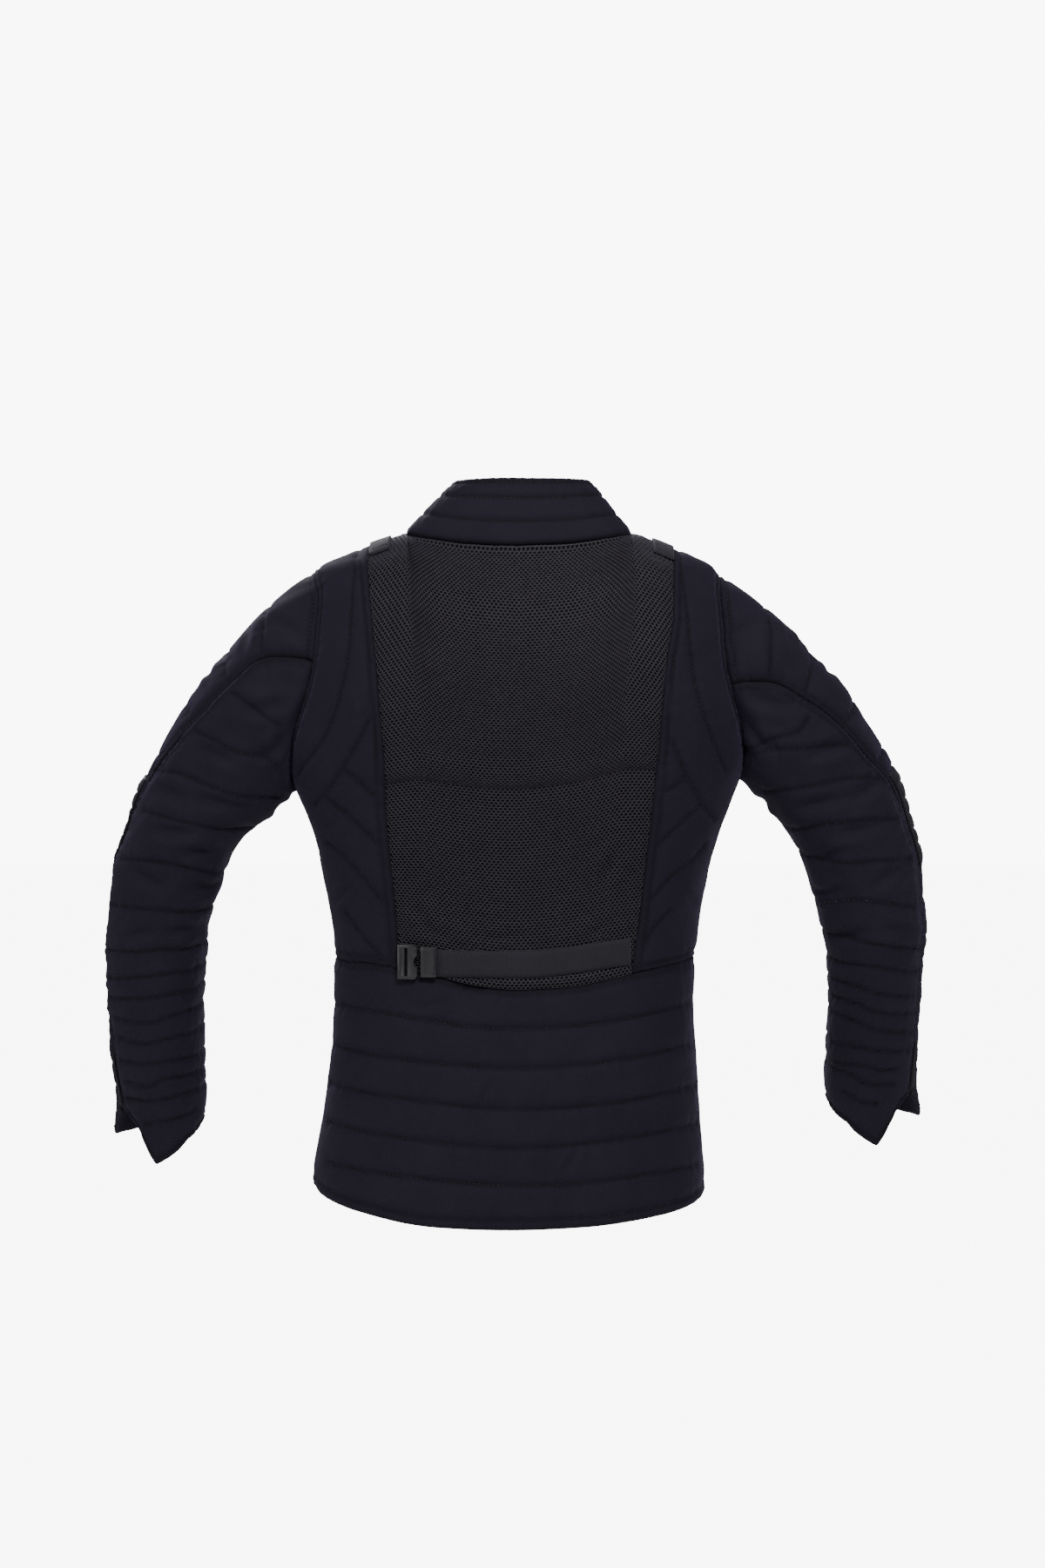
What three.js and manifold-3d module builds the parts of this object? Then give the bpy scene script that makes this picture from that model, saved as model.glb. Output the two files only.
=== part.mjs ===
// Quilted fencing jacket with a spacer-mesh back, filled out as if worn.
// Millimetres, +Z up. The origin lies midway between the two neck points of the shoulders.
// The wearer's back faces +Y, the zipped front faces -Y, and the wearer's left is +X.
import * as THREE from 'three';
import { mergeVertices } from 'three/addons/utils/BufferGeometryUtils.js';
import Module from 'manifold-3d';

const wasm = await Module();
wasm.setup();

const { cos, sin, abs, min, max, PI } = Math;
const rad = THREE.MathUtils.degToRad;
const lerp = THREE.MathUtils.lerp;
const clamp = THREE.MathUtils.clamp;

// ---------------------------------------------------------------------------
// Driving dimensions
// ---------------------------------------------------------------------------
const QUILTED_WALL = 4; // shell, wadding and backing of a padded panel
const COLLAR_WALL = 6;
const MESH_WALL = 2.2; // spacer mesh
const WEBBING = 1.6;
const TAPE = 1.2;
const TAPE_DEPTH = 0.6; // the zip tape lies this far below the fronts' faces
const PATCH = 2;
const SEAM_GAP = 0.3; // between neighbouring pieces
const LIFT = 0.45; // clearance under what lies on a panel
const FACET = { patch: 0.9, gusset: 0.4, tab: 0.6, hardware: 0.4 }; // extra, for the flat facets

const BODY_SQUARENESS = 2.4; // exponent of the torso's ovals, 2 is an ellipse
const SLEEVE_SQUARENESS = 2.15;
const SIDE_SEAM = 98; // degrees round from the centre back
const SHOULDER_SEAM = 94;
const FRONT_EDGE = 8; // each front stops this far from the centre front
const ZIP_HALF_WIDTH = 7;

/** Names the columns of a short table. */
function rows(columns, values) {
  const names = columns.split(' ');
  return values.map((row) => Object.fromEntries(row.map((value, i) => [names[i], value])));
}

// Torso ovals. Depths are measured back (+Y) and front (-Y) from the shoulder line.
const BODY = rows('z half shift back front', [
  [-660, 190, 6, 116, 122],
  [-588, 182, 5, 110, 118],
  [-513, 173.5, 2, 103, 112],
  [-438, 169.3, 0, 95, 104],
  [-389, 170.5, 0, 94, 101],
  [-339, 179, -1, 100, 104],
  [-289, 190, -1, 107, 112],
  [-243, 208, -1.5, 112, 122],
  [-205, 219, -1.5, 113, 126],
  [-170, 219, -1, 113, 125],
  [-120, 214, -1, 107, 113],
  [-75, 206, -1, 93, 97],
  [-40, 192, -1, 77, 84],
  [-15, 147, -3, 61, 68],
  [0, 106, -4, 52, 60],
]);

// Height of the seams that run round the body, by degrees from the centre back. The neck seam
// is the same on both sides.
const NECK_SEAM = rows('turn z', [
  [0, -17], [20, -14], [37, -9], [60, -3.5], [94, 0], [120, -1.5], [140, -8],
  [155, -22], [165, -38], [173, -57], [180, -65],
]);
const WAIST_SEAM = rows('turn z', [
  [-98, -402], [-75, -404], [-50, -411], [-36, -417], [-16, -428], [0, -430],
  [12, -426], [24, -418], [37, -411], [50, -407], [72, -405], [98, -402],
]);
const HEM = rows('turn z', [
  [-180, -646], [-130, -636], [-98, -621], [-75, -628], [-45, -640], [-20, -648],
  [0, -650], [20, -648], [45, -636], [60, -628], [75, -621], [98, -613], [130, -630], [180, -646],
]);

// The mesh panel's two long edges: distance from the centre line at each height.
const MESH_EDGE = rows('z left right', [
  [-430, 106, 107],
  [-362, 110, 116],
  [-275, 118, 126],
  [-211, 121, 133],
  [-127, 128, 141],
  [-79, 133, 148],
  [-14, 140, 150],
]);

// Armhole seams. Degrees round the armhole run from its top over the back to its bottom and
// up the front. The turns are degrees from the centre back.
const ARMHOLE = rows('around leftTurn leftZ rightTurn rightZ', [
  [0, 94, -37, 94, -40],
  [30, 64.3, -55, 70, -55],
  [60, 58.5, -97, 64, -95],
  [90, 58, -139, 62.5, -134],
  [120, 64, -178, 67, -172],
  [150, 76, -216, 77, -205],
  [180, 98, -245, 98, -231],
  [210, 115, -216, 114, -205],
  [240, 120, -178, 118, -172],
  [270, 123, -139, 122, -134],
  [300, 121, -97, 120, -95],
  [330, 116, -57, 115, -57],
]);

// Sleeve rings after the armhole, each from its outer to its inner edge. Distances out are
// from the centre line, y is the ring's centre, and reach is half its depth front to back.
const SLEEVE_LEFT = rows('outerX outerZ innerX innerZ y reach', [
  [233, -71, 213, -246, 1, 58],
  [273, -114, 218, -250, -2, 59],
  [307, -158, 227, -260, -5, 58],
  [334, -199, 243, -274, -8, 56],
  [356, -242, 259, -289, -11, 54],
  [369, -279, 274, -312, -15, 52],
  [382, -314, 285, -339, -20, 51],
  [390, -365, 294, -369, -30, 50],
  [393, -399, 298, -403, -38, 49],
  [392, -441, 301, -445, -48, 47],
  [390, -493, 302, -493, -60, 45],
  [386, -546, 302, -546, -73, 43],
  [384, -601, 303, -601, -86, 42],
]);
const SLEEVE_RIGHT = rows('outerX outerZ innerX innerZ y reach', [
  [238, -73, 217, -233, 1, 58],
  [280, -114, 225, -242, -2, 59],
  [317, -155, 239, -255, -5, 58],
  [344, -197, 255, -275, -8, 56],
  [364, -232, 269, -294, -11, 54],
  [376, -270, 279, -317, -15, 52],
  [387, -308, 288, -345, -20, 51],
  [393, -356, 297, -375, -30, 50],
  [394, -390, 302, -399, -38, 49],
  [393, -433, 303, -440, -48, 47],
  [391, -480, 304, -484, -60, 45],
  [390, -529, 304, -531, -73, 43],
  [390, -583, 304, -583, -86, 42],
]);

// Where the sleeve's back seam runs on each side, and its front seam, in degrees round the
// sleeve at each ring.
const SLEEVE_SEAMS = rows('ring left right front', [
  [0, 80, 100, -80],
  [1, 65, 83, -80],
  [2, 56, 69, -80],
  [3, 49, 58, -80],
  [4, 38, 50, -80],
  [5, 26, 38, -80],
  [6, 12, 33, -80],
  [8, 10, 30, -80],
  [10, 15, 30, -80],
  [11, 24, 32, -78],
  [12, 32, 34, -76],
  [13.5, 34, 35, -76],
]);
// The sleeve's end, by degrees round it. The vent's point is at ring 12.
const CUFF_RING = 12;
const VENT_HEM = 0.1; // the least that the sleeve runs on past that ring
const CUFF_END = rows('around ring', [
  [-80, 12.62], [-40, 12.66], [-12, 12.62], [32, 12.0], [84, 13.02], [130, 12.52], [180, 12.26],
  [230, 12.42], [284, 12.62],
]);
const CUFF_FLARE = 9; // the front wing of the vent stands this far out at its tip

// The collar's top edge, by degrees from the centre back.
const COLLAR_TOP = { half: 66, backShift: -7, back: 42, front: 62 };
const COLLAR_START = 0.03; // share of the rise left as the gap at the neck seam
const COLLAR_TOP_Z = rows('turn z', [
  [0, 49], [60, 49], [90, 46], [120, 29], [150, 2], [180, -12],
]);

// Grid steps shared by the pieces that meet at each seam.
const STEPS = {
  sidePanel: 4, shoulderByMesh: 2, neckBack: 9, neckFront: 5,
  armhole: 9, sideSeam: 5, skirt: 5, collar: 4,
};

const ARMHOLE_STEP = 180 / STEPS.armhole;

const STRAP = { width: 25.4, startX: 84, endX: -107.5, anchorFrom: 104.9, anchorTo: 93.5, 
  leftX: 106, leftZ: -405, middleX: -5, middleZ: -406.5, rightZ: -395 };
const BUCKLE = { x: 97.5, z: -404.5, width: 19, height: 32, thickness: 4, slot: 3, rail: 3.1, wave: 1.7 };
const SLIDER = { x: 78.5, z: -404.5, width: 14.5, height: 28, thickness: 3.4, rib: 2.2 };
const TAB = { width: 19, leftX: 126.5, rightX: -140, behind: 47, ahead: -40 };
const ELBOW = { fromRing: 4.75, toRing: 7.15, margin: 5 };
const GUSSET = { fromRing: 11.05, toRing: 11.97, narrow: 1.6, wide: 5.2 };
const ZIP = { slider: { width: 9, length: 12, height: 3.2, at: 0.8 },
  post: { width: 1.3, length: 2.4, apart: 4.4 },
  rod: { radius: 0.8, above: 2.7 },
  pull: { width: 7, length: 21, thickness: 1.5, eyeInner: 1.25, eyeOuter: 2.3, eyeWidth: 3.4, neck: 2.9 } };

const COLOURS = { quilt: 0x29262e, mesh: 0x24222a, webbing: 0x2b2830, hardware: 0x26252a,
  patch: 0x2c2a31, tape: 0x201e25, zipMetal: 0x55565a };

// ---------------------------------------------------------------------------
// Curves through the tables
// ---------------------------------------------------------------------------
/** A smooth curve through a table's rows that doesn't overshoot them. */
function curve(table, from, to) {
  const x = table.map((row) => row[from]);
  const y = table.map((row) => row[to]);
  const slope = x.slice(1).map((next, i) => (y[i + 1] - y[i]) / (next - x[i]));
  const last = x.length - 1;
  const tangent = x.map((_, i) => {
    if (i === 0) return slope[0];
    if (i === last) return slope[last - 1];
    const [before, after] = [slope[i - 1], slope[i]];
    return before * after <= 0 ? 0 : (2 * before * after) / (before + after);
  });
  return (value) => {
    let i = 0;
    while (i < last - 1 && value > x[i + 1]) i += 1;
    const width = x[i + 1] - x[i];
    const t = clamp((value - x[i]) / width, 0, 1);
    const bend = t * t * (3 - 2 * t);
    const start = t * (1 - t) * (1 - t) * width * tangent[i];
    const end = t * t * (t - 1) * width * tangent[i + 1];
    return y[i] + (y[i + 1] - y[i]) * bend + start + end;
  };
}

/** A closed smooth curve through rows that are evenly spaced round a turn. */
function loopCurve(table, to) {
  const y = table.map((row) => row[to]);
  const count = y.length;
  return (degrees) => {
    const place = ((degrees / 360) * count + count * 4) % count;
    const i = Math.floor(place);
    return catmullRom((k) => y[(i + k + count) % count], place - i);
  };
}

/** Catmull-Rom blend of four neighbours, value(-1) to value(2), at t from 0 to 1. */
function catmullRom(value, t) {
  const [a, b, c, d] = [value(-1), value(0), value(1), value(2)];
  return b + 0.5 * t * (c - a + t * (2 * a - 5 * b + 4 * c - d + t * (3 * (b - c) + d - a)));
}

const body = {
  half: curve(BODY, 'z', 'half'),
  shift: curve(BODY, 'z', 'shift'),
  back: curve(BODY, 'z', 'back'),
  front: curve(BODY, 'z', 'front'),
};
const neckHeight = curve(NECK_SEAM, 'turn', 'z');
const neckZ = (turn) => neckHeight(abs(turn));
const waistZ = curve(WAIST_SEAM, 'turn', 'z');
const hemZ = curve(HEM, 'turn', 'z');
const collarTopZ = curve(COLLAR_TOP_Z, 'turn', 'z');

// ---------------------------------------------------------------------------
// Surfaces: torso, collar and sleeves
// ---------------------------------------------------------------------------
/** Radius factor that turns a circle into a squarer oval. */
function squaring(s, c, power) {
  return (abs(s) ** power + abs(c) ** power) ** (-1 / power);
}

/** Outer surface of the torso at a turn from the centre back and a height. */
function torsoPoint({ turn, z }) {
  const [s, c] = [sin(rad(turn)), cos(rad(turn))];
  const k = squaring(s, c, BODY_SQUARENESS);
  const depth = c > 0 ? body.back(z) : body.front(z);
  return new THREE.Vector3(body.shift(z) + body.half(z) * s * k, depth * c * k, z);
}

/** The turn on the back at which the torso has a given x. */
function turnAt(x, z) {
  const across = clamp((x - body.shift(z)) / body.half(z), -1, 1);
  const depth = max(0, 1 - abs(across) ** BODY_SQUARENESS) ** (1 / BODY_SQUARENESS);
  return THREE.MathUtils.radToDeg(Math.atan2(across, depth));
}

/** The height at which the torso passes over a given x and y. */
function heightOver(x, y) {
  let [low, high] = [-120, 0];
  for (let i = 0; i < 40; i += 1) {
    const z = (low + high) / 2;
    const depth = y > 0 ? body.back(z) : body.front(z);
    const power = BODY_SQUARENESS;
    const inside = abs((x - body.shift(z)) / body.half(z)) ** power + abs(y / depth) ** power;
    if (inside < 1) low = z;
    else high = z;
  }
  return (low + high) / 2;
}

/** Outward direction of a surface given as a function of two parameters. */
function normalOf(surface, u, v, du, dv, inside) {
  const across = surface(u + du, v).sub(surface(u - du, v));
  const along = surface(u, v + dv).sub(surface(u, v - dv));
  const normal = across.cross(along).normalize();
  const outward = surface(u, v).sub(inside);
  return normal.dot(outward) < 0 ? normal.negate() : normal;
}

/** Point and outward direction on the torso. */
function torso(place) {
  const surface = (turn, z) => torsoPoint({ turn, z });
  const inside = new THREE.Vector3(0, 0, place.z - 60);
  const normal = normalOf(surface, place.turn, place.z, 1, 1.5, inside);
  return { point: torsoPoint(place), normal };
}

/** Outer surface of the collar, from the neck seam (rise 0) to its top edge (rise 1). */
function collarPoint(turn, rise) {
  const base = torsoPoint({ turn, z: neckZ(turn) });
  const [s, c] = [sin(rad(turn)), cos(rad(turn))];
  const k = squaring(s, c, BODY_SQUARENESS);
  const depth = c > 0 ? COLLAR_TOP.back : COLLAR_TOP.front;
  const shift = COLLAR_TOP.backShift * THREE.MathUtils.smoothstep(c, -0.8, 0.2);
  const top = new THREE.Vector3(shift + COLLAR_TOP.half * s * k, depth * c * k, collarTopZ(abs(turn)));
  return base.lerp(top, rise);
}

/** Point and outward direction on the collar. */
function collar(turn, rise) {
  const inside = new THREE.Vector3(0, 0, -40);
  return { point: collarPoint(turn, rise), normal: normalOf(collarPoint, turn, rise, 1.5, 0.02, inside) };
}

/** One sleeve's surface, by ring number along it and degrees round it (0 outer, 90 back). */
class Sleeve {
  constructor(side, table) {
    this.side = side;
    this.hand = side === 'left' ? 1 : -1;
    this.table = table;
    this.armholeTurn = loopCurve(ARMHOLE, `${side}Turn`);
    this.armholeZ = loopCurve(ARMHOLE, `${side}Z`);
    this.backSeam = curve(SLEEVE_SEAMS, 'ring', side);
    this.frontSeam = curve(SLEEVE_SEAMS, 'ring', 'front');
    this.cuffEnd = curve(CUFF_END, 'around', 'ring');
  }

  /** Place on the torso of the armhole seam, moved out of the opening by a distance. */
  armhole(around, out = 0) {
    const middle = { turn: 90, z: (this.armholeZ(0) + this.armholeZ(180)) / 2 };
    const edge = { turn: this.armholeTurn(around), z: this.armholeZ(around) };
    const grow = 1 + out / 100;
    return {
      turn: this.hand * (middle.turn + (edge.turn - middle.turn) * grow),
      z: middle.z + (edge.z - middle.z) * grow,
    };
  }

  ringCentre(ring) {
    const row = this.table[clamp(ring, 1, this.table.length) - 1];
    const x = (this.hand * (row.outerX + row.innerX)) / 2;
    return new THREE.Vector3(x, row.y, (row.outerZ + row.innerZ) / 2);
  }

  ringPoint(ring, around) {
    if (ring <= 0) return torsoPoint(this.armhole(around, -2 * SEAM_GAP));
    const number = min(ring, this.table.length);
    const row = this.table[number - 1];
    const centre = this.ringCentre(number);
    const outward = new THREE.Vector3(this.hand * row.outerX, row.y, row.outerZ).sub(centre);
    const run = this.ringCentre(number + 1).sub(this.ringCentre(number - 1));
    const backward = run.cross(outward).normalize();
    if (backward.y < 0) backward.negate();
    const [s, c] = [sin(rad(around)), cos(rad(around))];
    const k = squaring(s, c, SLEEVE_SQUARENESS);
    return centre.addScaledVector(outward, c * k).addScaledVector(backward, row.reach * s * k);
  }

  surface(ring, around) {
    const i = clamp(Math.floor(ring), 0, this.table.length - 1);
    const near = [-1, 0, 1, 2].map((k) => this.ringPoint(i + k, around));
    const blend = (axis) => catmullRom((k) => near[k + 1][axis], ring - i);
    const point = new THREE.Vector3(blend('x'), blend('y'), blend('z'));
    const wing = THREE.MathUtils.smoothstep(ring, CUFF_RING - 0.1, CUFF_RING + 0.65);
    const facing = max(0, cos(rad(around + 5))) ** 3;
    point.x += this.hand * CUFF_FLARE * wing * facing * (around < 40 ? 1 : 0);
    return point;
  }

  /** Point and outward direction on the sleeve. At the armhole it shares the torso's. */
  at(ring, around) {
    const middle = new THREE.Vector3();
    for (const turn of [0, 90, 180, 270]) middle.addScaledVector(this.surface(ring, turn), 0.25);
    const own = normalOf((u, v) => this.surface(u, v), max(ring, 0.06), around, 0.05, 3, middle);
    const shared = torso(this.armhole(around)).normal;
    const normal = shared.lerp(own, clamp(ring / 0.5, 0, 1)).normalize();
    return { point: this.surface(ring, around), normal };
  }
}

const sleeves = { left: new Sleeve('left', SLEEVE_LEFT), right: new Sleeve('right', SLEEVE_RIGHT) };

// ---------------------------------------------------------------------------
// Closed walls from grids of surface points
// ---------------------------------------------------------------------------
/** Whole numbers from 0 to count. */
function steps(count) {
  return Array.from({ length: count + 1 }, (_, i) => i);
}

/** Moves the grid's border inwards, so that neighbouring pieces don't touch. */
function insetBorder(grid, distance) {
  const [tall, wide] = [grid.length - 1, grid[0].length - 1];
  const source = grid.map((row) => row.map((cell) => cell.point.clone()));
  for (const i of steps(tall)) {
    for (const j of steps(wide)) {
      const neighbour = source[clamp(i, 1, tall - 1)][clamp(j, 1, wide - 1)];
      const toNeighbour = neighbour.clone().sub(source[i][j]);
      if (toNeighbour.length() > 0) grid[i][j].point.addScaledVector(toNeighbour.normalize(), distance);
    }
  }
  return grid;
}

/** Closed wall between a grid moved out by lift and the same grid thickness further in. */
function wall(grid, thickness, lift = 0) {
  const [tall, wide] = [grid.length, grid[0].length];
  const positions = [];
  for (const offset of [lift, lift - thickness]) {
    for (const row of grid) {
      for (const cell of row) positions.push(...cell.point.clone().addScaledVector(cell.normal, offset));
    }
  }
  const index = [];
  const at = (layer, i, j) => layer * tall * wide + i * wide + j;
  const quad = (a, b, c, d) => index.push(a, b, c, a, c, d);
  for (let i = 0; i < tall - 1; i += 1) {
    for (let j = 0; j < wide - 1; j += 1) {
      quad(at(0, i, j), at(0, i, j + 1), at(0, i + 1, j + 1), at(0, i + 1, j));
      quad(at(1, i, j), at(1, i + 1, j), at(1, i + 1, j + 1), at(1, i, j + 1));
    }
  }
  for (let j = 0; j < wide - 1; j += 1) {
    quad(at(0, 0, j + 1), at(0, 0, j), at(1, 0, j), at(1, 0, j + 1));
    quad(at(0, tall - 1, j), at(0, tall - 1, j + 1), at(1, tall - 1, j + 1), at(1, tall - 1, j));
  }
  for (let i = 0; i < tall - 1; i += 1) {
    quad(at(0, i, 0), at(0, i + 1, 0), at(1, i + 1, 0), at(1, i, 0));
    quad(at(0, i + 1, wide - 1), at(0, i, wide - 1), at(1, i, wide - 1), at(1, i + 1, wide - 1));
  }
  return facingOut(index, positions);
}

/** Geometry with its triangles turned so that it encloses a positive volume. */
function facingOut(index, positions) {
  const corner = (i) => new THREE.Vector3(...positions.slice(3 * index[i], 3 * index[i] + 3));
  let volume = 0;
  for (let i = 0; i < index.length; i += 3) volume += corner(i).dot(corner(i + 1).cross(corner(i + 2)));
  if (volume < 0) {
    for (let i = 0; i < index.length; i += 3) [index[i], index[i + 1]] = [index[i + 1], index[i]];
  }
  const geometry = new THREE.BufferGeometry();
  geometry.setAttribute('position', new THREE.Float32BufferAttribute(positions, 3));
  geometry.setIndex(index);
  return geometry;
}

/** Value of the torso's oval at a point: below 1 inside it, above 1 outside. */
function ovalValue({ x, y, z }) {
  const depth = y > 0 ? body.back(z) : body.front(z);
  const across = abs((x - body.shift(z)) / body.half(z));
  return across ** BODY_SQUARENESS + abs(y / depth) ** BODY_SQUARENESS;
}

// Points are seen level from inside up to the chest, and from further below at the shoulders.
const VIEWPOINT = { low: -220, high: -60, drop: 90 };

/** The place on the torso seen from inside through a point near it. */
function placeNear(point) {
  const { low: chest, high: top, drop } = VIEWPOINT;
  const shoulder = THREE.MathUtils.smoothstep(point.z, chest, top);
  const inside = new THREE.Vector3(point.x * 0.5, 0, point.z - drop * shoulder);
  const ray = point.clone().sub(inside);
  let [low, high] = [0.4, 1.8];
  for (let i = 0; i < 40; i += 1) {
    const k = (low + high) / 2;
    const trial = inside.clone().addScaledVector(ray, k);
    if (trial.z < 0 && ovalValue(trial) < 1) low = k;
    else high = k;
  }
  const { x, y, z } = inside.addScaledVector(ray, low);
  const depth = y > 0 ? body.back(z) : body.front(z);
  const turn = THREE.MathUtils.radToDeg(Math.atan2((x - body.shift(z)) / body.half(z), y / depth));
  return { turn, z };
}

/** Fills four borders of places on the torso with an even grid of places. */
function patch(...borders) {
  const [top, bottom, first, last] = borders.map((border) => border.map(torsoPoint));
  const [tall, wide] = [first.length - 1, top.length - 1];
  const mix = (a, b, t) => a.clone().lerp(b, t);
  return steps(tall).map((i) => steps(wide).map((j) => {
    if (i === 0) return borders[0][j];
    if (i === tall) return borders[1][j];
    if (j === 0) return borders[2][i];
    if (j === wide) return borders[3][i];
    const [v, u] = [i / tall, j / wide];
    const corners = mix(mix(top[0], top[wide], u), mix(bottom[0], bottom[wide], u), v);
    return placeNear(mix(top[j], bottom[j], v).add(mix(first[i], last[i], u)).sub(corners));
  }));
}

/** Panel of the torso from four borders. */
function torsoPanel(borders, thickness) {
  const grid = patch(...borders).map((row) => row.map(torso));
  return wall(insetBorder(grid, SEAM_GAP), thickness);
}

// ---------------------------------------------------------------------------
// Seam lines, listed once so that neighbours share their points
// ---------------------------------------------------------------------------
/** Evenly spaced places between two, without the first when joined on to another list. */
function between(from, to, count) {
  return steps(count).map((i) => ({
    turn: lerp(from.turn, to.turn, i / count), z: lerp(from.z, to.z, i / count),
  }));
}

/** Joins lists that share their end places. */
function joined(...lists) {
  return lists.reduce((all, list) => [...all, ...list.slice(1)]);
}

/** Height on the shoulder seam at a distance from the centre line. */
function shoulderHeight(hand, x) {
  let [low, high] = [-40, 0];
  for (let i = 0; i < 40; i += 1) {
    const z = (low + high) / 2;
    if (abs(torsoPoint({ turn: hand * SHOULDER_SEAM, z }).x) < x) high = z;
    else low = z;
  }
  return (low + high) / 2;
}

/** All seam lines of one half of the jacket. */
class Half {
  constructor(side) {
    this.side = side;
    this.sleeve = sleeves[side];
    this.hand = this.sleeve.hand;
    const meshX = curve(MESH_EDGE, 'z', side);
    this.neck = { turn: this.hand * SHOULDER_SEAM, z: neckZ(this.hand * SHOULDER_SEAM) };
    this.meshTop = { turn: this.neck.turn, z: shoulderHeight(this.hand, meshX(0)) };
    this.armholeTop = this.sleeve.armhole(0);
    this.waistSide = this.onSeam(this.hand * SIDE_SEAM, waistZ);
    this.hemSide = this.onSeam(this.hand * SIDE_SEAM, hemZ);
    const waistGuess = waistZ(this.hand * 36.5);
    this.meshBottom = this.onSeam(turnAt(this.hand * meshX(waistGuess), waistGuess), waistZ);
    const outer = this.outerBack();
    this.meshEdge = outer.map(({ z }, i) => {
      const down = (z - outer[0].z) / (outer[outer.length - 1].z - outer[0].z);
      const height = lerp(this.meshTop.z, this.meshBottom.z, down);
      const turn = i === 0 ? this.meshTop.turn : turnAt(this.hand * meshX(height), height);
      return { turn, z: height };
    });
    this.meshEdge[this.meshEdge.length - 1] = this.meshBottom;
  }

  onSeam(turn, height) {
    return { turn, z: height(turn) };
  }

  alongSeam(fromTurn, toTurn, count, height) {
    return steps(count).map((i) => this.onSeam(lerp(fromTurn, toTurn, i / count), height));
  }

  armholeHalf(bottom) {
    return steps(STEPS.armhole).map((i) => this.sleeve.armhole((bottom * i) / STEPS.armhole));
  }

  /** Armhole's back and the side seam, down to the waist. */
  outerBack() {
    const armhole = this.armholeHalf(180);
    return joined(armhole, between(armhole[STEPS.armhole], this.waistSide, STEPS.sideSeam));
  }

  /** Armhole's front and the side seam, down to the hem. */
  outerFront() {
    const armhole = this.armholeHalf(-180);
    const seam = between(armhole[STEPS.armhole], this.waistSide, STEPS.sideSeam);
    return joined(armhole, seam, between(this.waistSide, this.hemSide, STEPS.skirt));
  }

  shoulder() {
    return joined(
      between(this.neck, this.meshTop, STEPS.shoulderByMesh),
      between(this.meshTop, this.armholeTop, STEPS.sidePanel));
  }

  /** Centre front edge of the front panel, from the neck seam to the hem. */
  frontEdge(count) {
    const turn = (z) => this.hand * (180 - abs(turnAt(this.hand * FRONT_EDGE, z)));
    const [top, bottom] = [neckZ(180), hemZ(180)];
    return steps(count).map((i) => {
      const z = lerp(top, bottom, i / count);
      return { turn: turn(z), z };
    });
  }
}

const halves = { left: new Half('left'), right: new Half('right') };

// ---------------------------------------------------------------------------
// Cloth pieces
// ---------------------------------------------------------------------------
function backMesh() {
  const { left, right } = halves;
  const shoulder = (half) => between(half.meshTop, half.neck, STEPS.shoulderByMesh);
  const neck = left.alongSeam(left.neck.turn, right.neck.turn, STEPS.neckBack, neckZ);
  const top = joined(shoulder(left), neck, shoulder(right).reverse());
  const bottom = left.alongSeam(left.meshBottom.turn, right.meshBottom.turn, top.length - 1, waistZ);
  return torsoPanel([top, bottom, left.meshEdge, right.meshEdge], MESH_WALL);
}

function backSide(half) {
  const top = between(half.meshTop, half.armholeTop, STEPS.sidePanel);
  const bottom = half.alongSeam(half.meshBottom.turn, half.waistSide.turn, STEPS.sidePanel, waistZ);
  return torsoPanel([top, bottom, half.meshEdge, half.outerBack()], QUILTED_WALL);
}

function backLower() {
  const { left, right } = halves;
  const wide = STEPS.neckBack + 2 * STEPS.shoulderByMesh;
  const under = (half) => half.alongSeam(
    half.waistSide.turn, half.meshBottom.turn, STEPS.sidePanel, waistZ);
  const middle = left.alongSeam(left.meshBottom.turn, right.meshBottom.turn, wide, waistZ);
  const top = joined(under(left), middle, under(right).reverse());
  const bottom = top.map(({ turn }) => ({ turn, z: hemZ(turn) }));
  const side = (half) => between(half.waistSide, half.hemSide, STEPS.skirt);
  return torsoPanel([top, bottom, side(left), side(right)], QUILTED_WALL);
}

function front(half) {
  const side = half.outerFront();
  const edge = half.frontEdge(side.length - 1);
  const neck = half.alongSeam(half.neck.turn, edge[0].turn, STEPS.neckFront, neckZ);
  const top = joined([...half.shoulder()].reverse(), neck);
  edge[0] = top[top.length - 1];
  const bottomTurn = edge[edge.length - 1].turn;
  const bottom = half.alongSeam(half.hemSide.turn, bottomTurn, top.length - 1, hemZ);
  edge[edge.length - 1] = bottom[bottom.length - 1];
  return torsoPanel([top, bottom, side, edge], QUILTED_WALL);
}

/** Turn at which the collar reaches the centre-front gap, at a rise up the collar. */
function collarEnd(hand, rise) {
  let [low, high] = [150, 180];
  for (let i = 0; i < 30; i += 1) {
    const turn = (low + high) / 2;
    if (hand * collarPoint(hand * turn, rise).x > FRONT_EDGE) low = turn;
    else high = turn;
  }
  return (hand * (low + high)) / 2;
}

function collarPiece() {
  const { left, right } = halves;
  const grid = steps(STEPS.collar).map((i) => {
    const rise = lerp(COLLAR_START, 1, i / STEPS.collar);
    const frontPart = ({ hand, neck }) => steps(STEPS.neckFront).map(
      (j) => lerp(collarEnd(hand, rise), neck.turn, j / STEPS.neckFront));
    const back = steps(STEPS.neckBack).map((j) => lerp(left.neck.turn, right.neck.turn, j / STEPS.neckBack));
    const turns = joined(frontPart(left), back, frontPart(right).reverse());
    return turns.map((turn) => {
      const cell = collar(turn, rise);
      // At the neck seam the collar's edge shares the torso's outward direction.
      if (i === 0) cell.normal.copy(torso({ turn, z: neckZ(turn) }).normal);
      return cell;
    });
  });
  return wall(insetBorder(grid, SEAM_GAP), COLLAR_WALL);
}

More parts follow.
